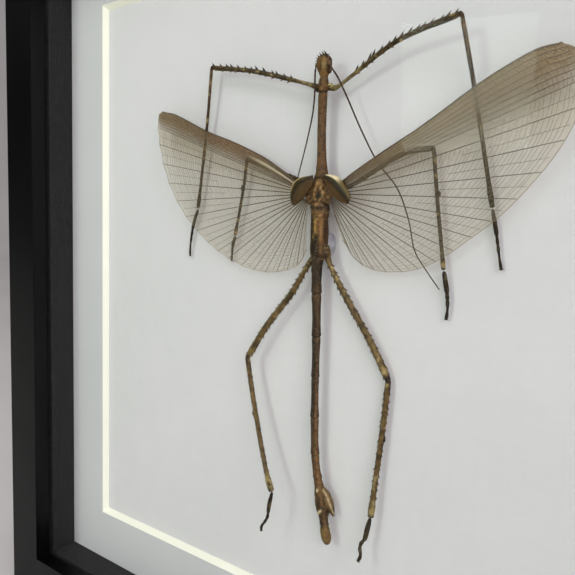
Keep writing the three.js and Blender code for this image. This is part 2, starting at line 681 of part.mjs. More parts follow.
// A thin plate whose grid of turns by steps is bent by shapeOf(turn, share) to [x, z, height].
function bentPlate(turns, steps, shapeOf) {
  const plate = shared(new THREE.BoxGeometry(1, 1, 1, turns, steps, 1));
  const spots = plate.attributes.position;
  for (let i = 0; i < spots.count; i += 1) {
    const [x, z, height] = shapeOf(spots.getX(i) + 0.5, spots.getY(i) + 0.5);
    const spot = place([x, height + spots.getZ(i) * wingThickness, z]);
    spots.setXYZ(i, spot.x, spot.y, spot.z);
  }
  return toSolid(plate);
}

function fanPoint(wing, angle, radius) {
  const a = THREE.MathUtils.degToRad(angle);
  return [wing.hinge[0] + wing.side * radius * Math.cos(a), wing.hinge[1] + radius * Math.sin(a)];
}

// The stiff front strip, from the leading edge to the first fold of the fan.
function costalStrip(wing) {
  const last = fanStart + panelSlit;
  return bentPlate(...stripGrid, (turn, share) => {
    const reach = between(wing.outline, mix(wing.outline[0][0], last, turn));
    const radius = mix(fanRoot, reach, share);
    const angle = mix(between(wing.leading, radius), last, turn);
    return [...fanPoint(wing, angle, radius), wingHeight(radius / reach, 1 - turn, 0)];
  });
}

// The folding fan. Its pleats run out from the hinge and deepen towards the margin.
function fan(wing) {
  const last = wing.outline[wing.outline.length - 1][0];
  const turns = pleats * 2;
  return bentPlate(turns, fanSteps, (turn, share) => {
    const angle = mix(fanStart - panelSlit, last, turn);
    const reach = between(wing.outline, angle);
    const radius = mix(fanRoot, reach, share);
    const pleat = Math.cos(Math.round(turn * turns) * Math.PI) * pleatDepth * share;
    const rear = THREE.MathUtils.clamp((fanStart - angle) / rearTurn, 0, 1);
    return [...fanPoint(wing, angle, radius), wingHeight(radius / reach, 0, rear) + pleat];
  });
}

// The fore wing is a short humped leaf over the root of the hind wing.
function tegmen({ outer, inner }) {
  const [far, near] = [outer, inner].map((edge) => routeOf(edge.map(([x, z]) => [x, tegmenHeight, z])));
  const leaf = bentPlate(...tegmenGrid, (turn, share) => {
    const spot = near.getPointAt(share).lerp(far.getPointAt(share), turn);
    const hump = between(tegmenCrest, turn) * Math.sin(Math.PI * mix(...tegmenHump, share));
    return [spot.x, spot.z, tegmenHeight + hump + tegmenArch * Math.sin(Math.PI * share)];
  });
  return clearOfTrunk(leaf);
}

function addWings() {
  for (const [side, wing] of Object.entries(wings)) {
    addPiece(`hindwing_${side}_costal`, toGeometry(clearOfTrunk(costalStrip(wing))), 'costal');
    addPiece(`hindwing_${side}_fan`, toGeometry(clearOfTrunk(fan(wing))), 'membrane');
    addPiece(`tegmen_${side}`, toGeometry(tegmen(tegmina[side])), 'tegmen');
  }
}

// A bead of clear glue between the body and the backing, right of the waist.
function addGlue() {
  const whole = toSolid(new THREE.SphereGeometry(1, ...glueFacets));
  const behind = toSolid(box(-2, 2, -2, 2, -2, 0));
  const dome = whole.subtract(behind).scale(glueHalf).rotate([90, 0, 0]);
  const drop = dome.translate([glueSpot[0], backingFront - fitGap, glueSpot[1]]);
  const clear = drop.subtract(toSolid(thighOf(legs.hind_right, jointGap * 2).geometry));
  addPiece('glue_bead', toGeometry(clearOfTrunk(clear)), 'glue');
}

addRails();
addLiner();
addPiece('glass', sheet(glassFront, glassThickness), 'glass');
addMat();
addPiece('backing', sheet(backingFront, backingThickness), 'backing');
addPiece('back_panel', sheet(panelFront, panelThickness), 'panel');
addTabs();
addHanger();
addHead();
addFaceParts();
addThorax();
addAbdomen();
addTail();
for (const [name, leg] of Object.entries(legs)) addLeg(name, leg);
addWings();
addGlue();

export default model;
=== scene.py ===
import math

import bpy
import numpy as np
from mathutils import Euler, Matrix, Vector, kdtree


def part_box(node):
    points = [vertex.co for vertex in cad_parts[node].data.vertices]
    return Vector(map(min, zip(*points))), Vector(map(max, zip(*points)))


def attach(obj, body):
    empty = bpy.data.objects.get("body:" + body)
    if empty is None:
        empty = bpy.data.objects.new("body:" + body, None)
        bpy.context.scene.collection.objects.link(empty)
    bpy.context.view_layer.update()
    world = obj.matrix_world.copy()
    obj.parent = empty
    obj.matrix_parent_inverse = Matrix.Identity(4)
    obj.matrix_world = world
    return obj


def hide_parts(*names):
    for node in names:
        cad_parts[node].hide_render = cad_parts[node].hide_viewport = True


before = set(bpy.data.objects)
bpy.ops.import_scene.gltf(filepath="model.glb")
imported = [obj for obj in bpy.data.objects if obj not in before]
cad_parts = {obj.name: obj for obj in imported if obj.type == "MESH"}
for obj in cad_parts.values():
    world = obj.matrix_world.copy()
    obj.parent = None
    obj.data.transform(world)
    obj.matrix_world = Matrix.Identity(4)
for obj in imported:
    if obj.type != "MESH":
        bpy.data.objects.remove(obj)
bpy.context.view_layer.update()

# A giant stick insect with spread wings, fixed in a black shadow-box frame.
# Shapes are worked out in millimetres and written to the scene in metres.

MM = 0.001

# ---- Sizes of the case ----

BACKING_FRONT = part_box("backing")[0].y / MM  # the insect's heights are measured from here
CASE_MIDDLE = (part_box("mat")[0].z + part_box("mat")[1].z) / 2 / MM
RAIL_EDGE = 0.5  # rounding of a rail's edges
SIDES = ("bottom", "left", "top", "right")
SHARP_ANGLE = math.radians(50)  # edges sharper than this stay crisp

# ---- Sizes of the insect ----
# A place on the insect is (x, height, z): height is how far it stands off the backing.

BODY_LINE = [
    (2.8, 6.2, 205.5), (2.5, 5.6, 199.2), (1.95, 4.9, 195), (1.62, 4.4, 184), (2.2, 4.5, 171),
    (1.95, 4.5, 160), (2.05, 4.4, 153), (1.5, 4.3, 147.5), (2.0, 4.2, 124.6), (2.25, 4.1, 104),
    (2.95, 3.9, 88), (4.25, 3.8, 80.5), (6.25, 3.8, 72), (7.15, 3.75, 66.5), (8.4, 3.7, 61.5),
]
TAIL_TIP = 61.9

# Half width and half depth of the trunk at each height, from the neck down to the waist.
TRUNK = [
    (199.6, 1.1, 1.0), (198.2, 1.45, 1.3), (196.6, 1.6, 1.4), (195.0, 1.3, 1.25), (193.6, 1.3, 1.3),
    (188, 1.26, 1.25), (180, 1.3, 1.25), (176, 1.42, 1.35), (173.2, 1.8, 1.65), (170.6, 2.3, 2.15),
    (168, 2.6, 2.4), (164, 2.7, 2.5), (160.5, 2.45, 2.5), (156, 2.7, 2.5), (151.5, 2.6, 2.4),
    (148.5, 2.0, 1.9),
]
# Where each ring of the abdomen starts, and its half width there.
ABDOMEN = [
    (148.4, 1.8), (137.4, 1.47), (124.6, 1.32), (112.2, 1.15), (100, 1.26), (88.5, 1.25), (81.5, 1.3),
]
RING_SWELL = [(0, 0.94), (0.06, 1.02), (0.3, 0.93), (0.7, 0.93), (0.92, 1.05), (0.985, 0.99)]
CLUB = [
    (79.8, 1.38, 1.4), (78, 1.58, 1.5), (74.5, 2.1, 1.85), (72, 2.0, 1.8), (70.5, 1.55, 1.5),
    (67.6, 1.25, 1.25), (66.6, 1.45, 1.35), (64.5, 1.58, 1.4), (62.9, 1.25, 1.2), (TAIL_TIP, 0.7, 0.8),
]
TAIL_PLATE = [(4.6, 3.6, 79.6), (6.6, 3.3, 76.8), (8.05, 3.1, 74), (8.95, 3.0, 72.2), (9.6, 3.0, 71.0)]
JOINT_LINES = [195.0, 170.8, 159.8, 148.4, 137.4, 124.6, 112.2, 100, 88.5, 81.5, 67.4]

# Each leg: the middle line of its thigh (femur), shank (tibia) and foot (tarsus), and their half thickness.
LEGS = {
    "fore_left": {
        "femur": [(0.9, 4.4, 196.6), (-6.2, 4.2, 199.1), (-24.3, 4.3, 204.6), (-41.6, 4.3, 208.5)],
        "tibia": [(-42.0, 4.2, 207.4), (-44.6, 3.1, 189.4), (-49.0, 2.1, 163.2)],
        "tarsus": [(-49.2, 2.0, 162.2), (-51.3, 1.8, 157.6), (-53.2, 1.4, 150), (-53.6, 1.1, 146)],
        "half": (0.62, 0.52, 0.46),
        "knob": 1.2,
    },
    "fore_right": {
        "femur": [(3.0, 4.4, 196.4), (5.7, 4.4, 196.1), (10.3, 4.6, 198.3), (24.7, 6.5, 205),
                  (42.0, 8.3, 208.7)],
        "tibia": [(42.4, 8.1, 207.6), (45.0, 5.0, 192.2), (50.2, 1.9, 163.2)],
        "tarsus": [(50.4, 1.8, 162.2), (51.6, 1.6, 156.5), (52.6, 1.4, 150.7), (53.2, 1.1, 147.4)],
        "half": (0.62, 0.52, 0.46),
        "knob": 1.2,
    },
    "middle_left": {
        "femur": [(0.6, 3.4, 168.8), (-8.5, 2.9, 171.5), (-27.2, 2.7, 178.8)],
        "tibia": [(-27.6, 2.6, 177.6), (-28.4, 2.5, 170.5), (-32.0, 2.1, 154.3)],
        "tarsus": [(-32.2, 2.0, 153.4), (-33.3, 1.8, 150.5), (-34.2, 1.2, 145.3)],
        "half": (0.62, 0.5, 0.44),
        "knob": 1.5,
    },
    "middle_right": {
        "femur": [(3.2, 3.4, 168.2), (9.6, 2.9, 168.4), (26.8, 2.7, 177.1), (34.6, 2.7, 178.4)],
        "tibia": [(35.0, 2.6, 177.2), (36.5, 2.6, 164.4), (38.9, 2.4, 147.2)],
        "tarsus": [(39.1, 2.2, 146.2), (40.2, 1.9, 140.2), (40.4, 1.6, 136.3), (40.0, 1.2, 133.6)],
        "half": (0.62, 0.5, 0.56),
        "knob": 1.5,
    },
    "hind_left": {
        "femur": [(0.3, 3.0, 149.6), (-2.9, 3.9, 144.2), (-6.9, 4.3, 137.4), (-16.3, 4.8, 125.5),
                  (-22.9, 5.4, 115.3)],
        "tibia": [(-23.0, 5.5, 114.2), (-20.2, 6.1, 104.3), (-13.2, 8.1, 83.8), (-10.7, 9.0, 78.6),
                  (-9.4, 9.2, 76.0)],
        "tarsus": [(-9.0, 9.2, 75.1), (-9.8, 9.3, 71.4), (-10.2, 9.4, 68.0), (-10.5, 9.5, 66.4),
                   (-11.6, 9.5, 64.6), (-12.4, 9.6, 63.2), (-12.5, 9.6, 61.8)],
        "half": (0.88, 0.8, 0.5),
        "knob": 0.8,
    },
    "hind_right": {
        "femur": [(3.9, 4.0, 151.4), (5.5, 4.1, 146.8), (9.4, 3.6, 139.9), (20.1, 2.4, 123.3),
                  (24.7, 2.0, 115.3)],
        "tibia": [(24.9, 2.0, 114.2), (24.0, 2.2, 102.5), (22.6, 3.1, 83.5), (22.1, 3.5, 75.4)],
        "tarsus": [(21.9, 3.6, 74.4), (21.5, 4.2, 71.4), (21.0, 4.8, 68.3), (20.2, 5.2, 67.0),
                   (20.1, 5.7, 65.6), (20.6, 6.1, 64.6), (20.7, 6.5, 63.5), (20.2, 6.8, 62.4)],
        "half": (0.88, 0.8, 0.58),
        "knob": 1.4,
    },
}
THIGH_SHAPE = [(0.09, 1.0), (0.16, 0.8), (0.3, 1.0), (0.8, 1.1), (0.95, 1.2), (1, 0.95)]  # past the knob
SHANK_SHAPE = [(0, 0.95), (0.05, 1.05), (0.15, 1), (0.85, 0.95), (0.95, 1.3), (1, 1.1)]
FOOT_SHAPE = [
    (0, 0.6), (0.05, 1.05), (0.4, 1.2), (0.44, 0.75), (0.54, 1), (0.58, 0.7), (0.67, 0.95), (0.71, 0.65),
    (0.8, 0.6), (0.93, 0.85), (1, 0.6),
]
HIND_FOOT_SHAPE = [
    (0, 0.7), (0.04, 0.95), (0.25, 1.3), (0.47, 1.1), (0.51, 0.7), (0.6, 1), (0.66, 0.75), (0.74, 0.95),
    (0.8, 0.7), (0.92, 0.9), (1, 0.7),
]

ANTENNAE = {
    "left": [(1.0, 6.1, 203.4), (0.3, 6.5, 201.9), (0.2, 6.7, 198.6), (0.1, 6.4, 195.3),
             (-0.9, 5.6, 189.4), (-3.1, 4.7, 182.3), (-5.2, 4.3, 175.5), (-7.0, 4.2, 169.5)],
    "right": [(4.6, 6.5, 203.1), (5.6, 7.0, 201.2), (7.5, 6.6, 198.4), (10.0, 5.6, 193.2),
              (14.9, 4.7, 183.1), (19.9, 4.3, 174.6), (25.5, 3.6, 167.8), (28.9, 3.0, 159.6),
              (31.2, 2.9, 151), (34.5, 3.1, 146.4), (38.6, 3.6, 141.6)],
}
ANTENNA_RADIUS = 0.27
ANTENNA_RING = 1.4  # length of one ring
THORN_LEAN = 0.8  # how far a leg's thorns lean towards its far end
EYE_RADIUS = 0.85
# Eyes by side: how far right and forward of the body's middle, and z.
EYE_SPOTS = {-1: (-1.35, -0.45, 200.8), 1: (1.65, -0.05, 200.9)}
EYE_SHAPE = np.array([0.8, 0.9, 1.0])
# The hooked thorns of the crown: how far right, z, and length.
CROWN_HOOKS = [(-1.0, 203.9, 1.3), (-0.3, 204.2, 1.5), (0.5, 204.3, 1.7), (1.3, 204.0, 2.2)]
CHEEK_THORNS = 3
JAWS = [(-0.55, 204.9, -0.35), (0.55, 204.9, -0.35)]  # how far right, z, and how far forward
PALPS = [(-0.75, -0.5), (0.75, 0.5)]  # how far right, and how far the tip swings out

# Each hind wing turns about its hinge (x, z). The leading edge is (reach, degrees above level), the rest of
# the outline is (degrees above level, reach), and veins are the main folds of the fan, in degrees.
WINGS = {
    "left": {
        "side": -1,
        "hinge": (-1.2, 166.5),
        "leading": [(5, 37), (16.6, 35), (28.3, 31.2), (47.2, 27.2), (61.5, 26.6), (68.6, 25.4)],
        "outline": [(25.4, 68.6), (24, 70), (21, 69.6), (18.4, 68.2), (7.6, 61.8), (-3.3, 54.7),
                    (-18.2, 45.2), (-34.2, 37.1), (-50.9, 30.6), (-65.2, 25.7), (-79.6, 21), (-86, 16.5)],
        "veins": [16.0, 10.5, 4.6, -1.5, -7.6, -14.0, -20.4, -26.3, -32.6, -40.5, -48, -55.5, -63, -70.5,
                  -78],
    },
    "right": {
        "side": 1,
        "hinge": (5.0, 166.5),
        "leading": [(5, 35), (17.6, 32.6), (31.9, 31), (47.9, 31.4), (58, 30.8), (63.4, 30),
                    (67.5, 28.6)],
        "outline": [(28.6, 67.5), (26.3, 69.2), (22, 69.6), (18, 67.8), (13.8, 65.2), (7.6, 60.1),
                    (0.8, 54.2), (-7.4, 48.2), (-16.9, 42.1), (-34.6, 34.7), (-45.4, 29.8),
                    (-55.3, 25.4), (-63.5, 20.7), (-70.8, 14.2)],
        "veins": [15.8, 10.2, 4.1, -2.2, -9.0, -15.2, -21.8, -28.7, -35.5, -42, -48.5, -54.5, -60, -65.5],
    },
}
FAN_START = 20.5  # degrees above level where the stiff front strip ends
FAN_ROOT = 1.2
WING_HEIGHT = 5.5
WING_DROOP = 1.5
MEMBRANE = 0.09  # thickness
STRIP = 0.16  # thickness of the stiff front strip
PLEAT = 0.2
STRIP_VEINS = 7
VEIN_SIDES = 6
# The two edges of each fore wing, from the body to its tip, as (x, z).
TEGMINA = {
    "left": {
        "outer": [(0.6, 171.7), (-3.3, 171.1), (-5.3, 170.0), (-6.6, 167.3), (-6.8, 165.2), (-6.3, 163.7)],
        "inner": [(1.0, 170.6), (0.6, 169.0), (-0.4, 167.3), (-2.7, 164.9), (-4.6, 163.6), (-5.7, 163.2)],
    },
    "right": {
        "outer": [(4.5, 171.8), (7.6, 171.5), (9.9, 170.5), (11.6, 168.5), (12.8, 166.6), (13.2, 165.2),
                  (12.7, 164.0)],
        "inner": [(4.2, 170.6), (5.6, 168.3), (7.2, 166.0), (9.5, 164.5), (11.2, 163.8), (12.2, 163.4)],
    },
}
TEGMEN_HEIGHT = 6.35
TEGMEN = 0.5  # thickness
HINGE_LUMP = (1.7, 0.9, 3.1)  # half sizes of the swelling where a wing turns
HINGE_LUMP_Z = 166.5
# Spacing of the rings of points along the trunk, a limb and a feeler.
TRUNK_STEP = 0.3
LIMB_STEP = 0.35
ANTENNA_STEP = 0.3
GLUE_SPOT = (2.9, 0.0, 151.8)
GLUE_SIZE = (2.2, 3.2, 3.9)  # across, out from the backing, and up

# ---- Camera, in metres and degrees ----

CAMERA_PLACE = (0.0920, -0.14562, 0.15481)
CAMERA_TURN = (84.664, -1.682, 35.334)
CAMERA_LENS = 36.06

# ---- Colours ----


def colour(code):
    """A colour in linear light from six hexadecimal digits."""
    parts = [int(code[i:i + 2], 16) / 255 for i in (0, 2, 4)]
    return np.array([p / 12.92 if p < 0.04045 else ((p + 0.055) / 1.055) ** 2.4 for p in parts])


BARK = colour("6d4f35")
DARK_BARK = colour("3a2a1b")
NEAR_BLACK = colour("1d1712")
TAN = colour("9c835a")
CREAM = colour("c9b98c")
MEMBRANE_TINT = colour("d3c49a")
VEIN_TINT = colour("4a3a2c")
SKIN_STAIN = (0.75, 0.62, 0.38, 1)  # what full cover of wing skin leaves of the light behind it

# ---- Routes, tables and surface ripple ----


def spot(x, height, z):
    return np.array([x, BACKING_FRONT - height, z])


def smooth_read(table, where):
    """Values read smoothly between the rows of a table of (where, value), with no overshoot."""
    rows = sorted(table)
    xs = np.array([row[0] for row in rows], float)
    ys = np.array([row[1] for row in rows], float)
    steps = np.diff(ys) / np.diff(xs)
    slopes = np.zeros(len(xs))
    for i in range(1, len(xs) - 1):
        if steps[i - 1] * steps[i] > 0:
            slopes[i] = 2 * steps[i - 1] * steps[i] / (steps[i - 1] + steps[i])
    where = np.clip(np.asarray(where, float), xs[0], xs[-1])
    k = np.clip(np.searchsorted(xs, where) - 1, 0, len(xs) - 2)
    span = xs[k + 1] - xs[k]
    t = (where - xs[k]) / span
    return (
        ys[k] * (1 + 2 * t) * (1 - t) ** 2 + slopes[k] * span * t * (1 - t) ** 2
        + ys[k + 1] * t * t * (3 - 2 * t) + slopes[k + 1] * span * t * t * (t - 1)
    )


def shades(stops, where):
    """Colours read between stops of (where, colour)."""
    rows = sorted(stops, key=lambda row: row[0])
    xs = [row[0] for row in rows]
    return np.stack([np.interp(where, xs, [row[1][c] for row in rows]) for c in range(3)], -1)


def fade(low, high, value):
    """0 below low, 1 above high, and smooth between."""
    t = np.clip((np.asarray(value, float) - low) / (high - low), 0, 1)
    return t * t * (3 - 2 * t)


def tint(base, over, mask):
    """Base colours with another laid over them where the mask is 1."""
    mask = np.asarray(mask)[..., None]
    return base * (1 - mask) + over * mask


def ripple(points, size, seed):
    """Smooth lumps about size across, between -1 and 1, the same on every run."""
    rng = np.random.default_rng(seed)
    total = np.zeros(len(points))
    waves = 9
    for _ in range(waves):
        way = rng.normal(size=3)
        way /= np.linalg.norm(way)
        total += np.sin(points @ way * (2 * math.pi / size) * rng.uniform(0.6, 1.5) + rng.uniform(0, 6.28))
    return total / math.sqrt(waves) / 1.4


class Route:
    """A smooth line through places, read by the share of its length."""

    def __init__(self, places, per_span=24):
        knots = np.array([spot(*place) for place in places])
        knots = np.vstack([2 * knots[0] - knots[1], knots, 2 * knots[-1] - knots[-2]])
        line = []
        for a, b, c, d in zip(knots, knots[1:], knots[2:], knots[3:]):
            before, gap, after = (math.sqrt(np.linalg.norm(q - p)) for p, q in ((a, b), (b, c), (c, d)))
            leave = ((b - a) / before - (c - a) / (before + gap) + (c - b) / gap) * gap
            arrive = ((c - b) / gap - (d - b) / (gap + after) + (d - c) / after) * gap
            for t in np.arange(per_span) / per_span:
                rest = 1 - t
                line.append(
                    b * (1 + 2 * t) * rest ** 2 + leave * t * rest ** 2
                    + c * t * t * (3 - 2 * t) + arrive * t * t * (t - 1)
                )
        line.append(knots[-2])
        self.line = np.array(line)
        run = np.linalg.norm(np.diff(self.line, axis=0), axis=1)
        self.length = run.sum()
        self.shares = np.concatenate([[0], np.cumsum(run)]) / self.length

    def at(self, share):
        return np.stack([np.interp(share, self.shares, self.line[:, c]) for c in range(3)], -1)

    def along(self, share):
        share = np.asarray(share, float)
        step = 0.01
        way = self.at(np.minimum(share + step, 1)) - self.at(np.maximum(share - step, 0))
        return way / np.linalg.norm(way, axis=-1, keepdims=True)

    def share_at(self, z):
        """The share where a route that falls all the way passes a height."""
        return np.interp(-np.asarray(z, float), -self.line[:, 2], self.shares)


def across_of(along):
    """The direction square to a route that lies level with the backing."""
    across = np.cross(along, [0, -1, 0])
    return across / np.linalg.norm(across, axis=-1, keepdims=True)


# ---- Shapes ----


class Shape:
    """Points in millimetres, faces, and a colour and cover painted on each point."""

    def __init__(self, points, faces, paint, cover=1.0):
        self.points = np.asarray(points, float)
        self.faces = faces
        paint = np.broadcast_to(paint, (len(self.points), 3))
        cover = np.broadcast_to(cover, (len(self.points),))
        self.paint = np.column_stack([paint, cover])


def merged(shapes):
    """Several shapes that don't touch, as one."""
    faces = []
    start = 0
    for shape in shapes:
        faces += [tuple(start + i for i in face) for face in shape.faces]
        start += len(shape.points)
    made = Shape(np.vstack([s.points for s in shapes]), faces, np.zeros(3))
    made.paint = np.vstack([s.paint for s in shapes])
    return made


def turned_out(shape):
    """The shape with its faces turned outwards."""
    total = 0.0
    points = shape.points
    for face in shape.faces:
        for i in range(1, len(face) - 1):
            total += np.dot(points[face[0]], np.cross(points[face[i]], points[face[i + 1]]))
    if total < 0:
        shape.faces = [face[::-1] for face in shape.faces]
    return shape


def tube_faces(rings, sides):
    faces = []
    for i in range(rings - 1):
        for j in range(sides):
            a, b = i * sides + j, i * sides + (j + 1) % sides
            faces.append((a, b, b + sides, a + sides))
    first, last = rings * sides, rings * sides + 1
    for j in range(sides):
        k = (j + 1) % sides
        faces.append((first, k, j))
        faces.append((last, (rings - 1) * sides + j, (rings - 1) * sides + k))
    return faces


def sweep(route, shares, wide, deep, sides, paint, relief=None):
    """A closed tube with domed ends. paint and relief take each point's share, angle and place."""
    shares = np.asarray(shares, float)
    wide, deep = (np.broadcast_to(np.asarray(v, float), shares.shape) for v in (wide, deep))
    centre, along = route.at(shares), route.along(shares)
    dome = (0.55, 0.85)

    def dome_row(end, way, grown):
        middle = centre[end] + way * along[end] * wide[end] * 0.5 * (1 - grown)
        return middle, along[end], shares[end], wide[end] * grown, deep[end] * grown

    head = [dome_row(0, -1, grown) for grown in dome]
    tail = [dome_row(-1, 1, grown) for grown in reversed(dome)]
    rows = head + list(zip(centre, along, shares, wide, deep)) + tail
    centre = np.array([row[0] for row in rows])
    along = np.array([row[1] for row in rows])
    share = np.array([row[2] for row in rows])
    across = across_of(along)
    out = np.cross(along, across)
    angle = np.arange(sides) * 2 * math.pi / sides
    c, s = np.cos(angle)[None, :, None], np.sin(angle)[None, :, None]
    lift = across[:, None, :] * c * np.array([row[3] for row in rows])[:, None, None]
    lift = lift + out[:, None, :] * s * np.array([row[4] for row in rows])[:, None, None]
    points = (centre[:, None, :] + lift).reshape(-1, 3)
    shares_all = np.repeat(share, sides)
    angles_all = np.tile(angle, len(rows))
    if relief is not None:
        way = lift.reshape(-1, 3)
        way = way / np.linalg.norm(way, axis=1, keepdims=True)
        points = points + way * relief(shares_all, angles_all, points)[:, None]
    tips = [centre[0] - along[0] * wide[0] * 0.25, centre[-1] + along[-1] * wide[-1] * 0.25]
    colours = paint(shares_all, angles_all, points)
    points = np.vstack([points, tips])
    colours = np.vstack([colours, colours[:1], colours[-1:]])
    return turned_out(Shape(points, tube_faces(len(rows), sides), colours))


def thorn(foot, direction, length, radius, base_colour, tip_colour, curl, sides=6):
    """A thorn from a sunk foot to a sharp tip, which may curl."""
    direction = np.asarray(direction, float) / np.linalg.norm(direction)
    side = np.cross(direction, [0.3, 0.8, 0.5])
    side /= np.linalg.norm(side)
    other = np.cross(direction, side)
    stops = [(-0.25, 1.0), (0.0, 1.0), (0.3, 0.72), (0.6, 0.42), (0.85, 0.18)]
    points, colours = [], []
    for t, width in stops:
        centre = foot + direction * length * t + np.asarray(curl) * max(t, 0) ** 2
        for a in np.arange(sides) * 2 * math.pi / sides:
            points.append(centre + (side * math.cos(a) + other * math.sin(a)) * radius * width)
            colours.append(base_colour + (tip_colour - base_colour) * min(max(t * 1.6, 0), 1))
    points += [foot - direction * length * 0.25, foot + direction * length + np.asarray(curl)]
    colours += [base_colour, tip_colour]
    return turned_out(Shape(points, tube_faces(len(stops), sides), np.array(colours)))


def ball(centre, radii, paint, rings, sides):
    """A closed oval."""
    points = []
    for i in range(1, rings):
        a = math.pi * i / rings
        for b in np.arange(sides) * 2 * math.pi / sides:
            points.append((math.sin(a) * math.cos(b), math.sin(a) * math.sin(b), math.cos(a)))
    points += [(0, 0, 1), (0, 0, -1)]
    points = np.array(points) * radii + centre
    return turned_out(Shape(points, tube_faces(rings - 1, sides), paint))


def plate(columns, rows, surface, thickness, paint, cover=1.0):
    """A thin closed plate. surface gives (x, height, z) for grids of turn and share from 0 to 1."""
    turn, share = np.meshgrid(np.asarray(columns), np.asarray(rows), indexing="ij")
    x, height, z = surface(turn, share)
    middle = np.stack([x, BACKING_FRONT - height, z], -1)
    du = np.gradient(middle, axis=0)
    dv = np.gradient(middle, axis=1)
    way = np.cross(du, dv)
    way /= np.linalg.norm(way, axis=-1, keepdims=True)
    half = np.broadcast_to(thickness, turn.shape)[..., None] / 2
    front, back = middle + way * half, middle - way * half
    nu, nv = turn.shape
    count = nu * nv
    faces = []
    for i in range(nu - 1):
        for j in range(nv - 1):
            a, b, c, d = i * nv + j, (i + 1) * nv + j, (i + 1) * nv + j + 1, i * nv + j + 1
            faces.append((a, b, c, d))
            faces.append((count + d, count + c, count + b, count + a))
    edge = [i * nv for i in range(nu)] + [(nu - 1) * nv + j for j in range(1, nv)]
    edge += [i * nv + nv - 1 for i in range(nu - 2, -1, -1)] + [j for j in range(nv - 2, 0, -1)]
    for a, b in zip(edge, edge[1:] + edge[:1]):
        faces.append((b, a, count + a, count + b))
    points = np.vstack([front.reshape(-1, 3), back.reshape(-1, 3)])
    colours = np.broadcast_to(paint(turn, share), turn.shape + (3,)).reshape(-1, 3)
    covers = np.broadcast_to(cover(turn, share) if callable(cover) else cover, turn.shape).reshape(-1)
    return turned_out(Shape(points, faces, np.vstack([colours, colours]), np.concatenate([covers, covers])))


def mesh_of(name, shape):
    mesh = bpy.data.meshes.new(name)
    mesh.from_pydata((shape.points * MM).tolist(), [], [tuple(face) for face in shape.faces])
    layer = mesh.attributes.new("paint", "FLOAT_COLOR", "POINT")
    layer.data.foreach_set("color", shape.paint.astype(np.float32).ravel())
    mesh.update()
    return mesh


def united(parts):
    """One closed shape from shapes that overlap. Each point is painted like the nearest one that went in."""
    objects = []
    for k, part in enumerate(parts):
        made = bpy.data.objects.new(f"joining_{k}", mesh_of(f"joining_{k}", part))
        bpy.context.scene.collection.objects.link(made)
        objects.append(made)
    for other in objects[1:]:
        step = objects[0].modifiers.new("join", "BOOLEAN")
        step.operation = "UNION"
        step.solver = "MANIFOLD"
        step.object = other
    graph = bpy.context.evaluated_depsgraph_get()
    mesh = bpy.data.meshes.new_from_object(objects[0].evaluated_get(graph))
    points = np.zeros(len(mesh.vertices) * 3)
    mesh.vertices.foreach_get("co", points)
    points = points.reshape(-1, 3) / MM
    faces = [tuple(face.vertices) for face in mesh.polygons]
    for made in objects:
        old = made.data
        bpy.data.objects.remove(made)
        bpy.data.meshes.remove(old)
    bpy.data.meshes.remove(mesh)
    source = merged(parts)
    tree = kdtree.KDTree(len(source.points))
    for k, point in enumerate(source.points):
        tree.insert(point, k)
    tree.balance()
    nearest = [tree.find(point)[1] for point in points]
    shape = Shape(points, faces, np.zeros(3))
    shape.paint = source.paint[nearest]
    return shape


def add_piece(name, shape, material, nodes=()):
    mesh = mesh_of(name, shape)
    mesh.shade_smooth()
    mesh.set_sharp_from_angle(angle=SHARP_ANGLE)
    mesh.materials.append(material)
    piece = bpy.data.objects.new(name, mesh)
    bpy.context.scene.collection.objects.link(piece)
    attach(piece, "root")
    if nodes:
        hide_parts(*nodes)
    return piece


# ---- Shader groups ----


class Graph:
    """Adds nodes to a tree. An input is a value or another node's output."""

    def __init__(self, tree):
        self.tree = tree

    def add(self, kind, inputs=None, **settings):
        node = self.tree.nodes.new("ShaderNode" + kind)
        for key, value in settings.items():
            setattr(node, key, value)
        for key, value in (inputs or {}).items():
            self.feed(node.inputs[key], value)
        return node

    def feed(self, socket, value):
        if isinstance(value, bpy.types.Node):
            value = value.outputs[0]
        if isinstance(value, bpy.types.NodeSocket):
            self.tree.links.new(value, socket)
        else:
            socket.default_value = value

    def maths(self, operation, first, second=0.0):
        return self.add("Math", {0: first, 1: second}, operation=operation).outputs[0]

    def mix(self, share, first, second, blend="MIX"):
        node = self.add("Mix", {0: share, 6: first, 7: second}, data_type="RGBA", blend_type=blend)
        return node.outputs[2]

    def span(self, value, low, high, to_low=0.0, to_high=1.0):
        inputs = {"Value": value, "From Min": low, "From Max": high, "To Min": to_low, "To Max": to_high}
        return self.add("MapRange", inputs, clamp=True).outputs[0]

    def noise(self, vector, scale, detail=3.0, roughness=0.55):
        inputs = {"Vector": vector, "Scale": scale, "Detail": detail, "Roughness": roughness}
        return self.add("TexNoise", inputs).outputs[0]

    def stretched(self, vector, scale):
        return self.add("Mapping", {"Vector": vector, "Scale": scale}).outputs[0]


def new_group(name, inputs, outputs):
    """An empty shader group with named sockets, and its graph."""
    tree = bpy.data.node_groups.new(name, "ShaderNodeTree")
    for direction, sockets in (("INPUT", inputs), ("OUTPUT", outputs)):
        for label, kind, *value in sockets:
            socket = tree.interface.new_socket(label, in_out=direction, socket_type="NodeSocket" + kind)
            if value:
                socket.default_value = value[0]
    graph = Graph(tree)
    return tree, graph, tree.nodes.new("NodeGroupInput"), tree.nodes.new("NodeGroupOutput")


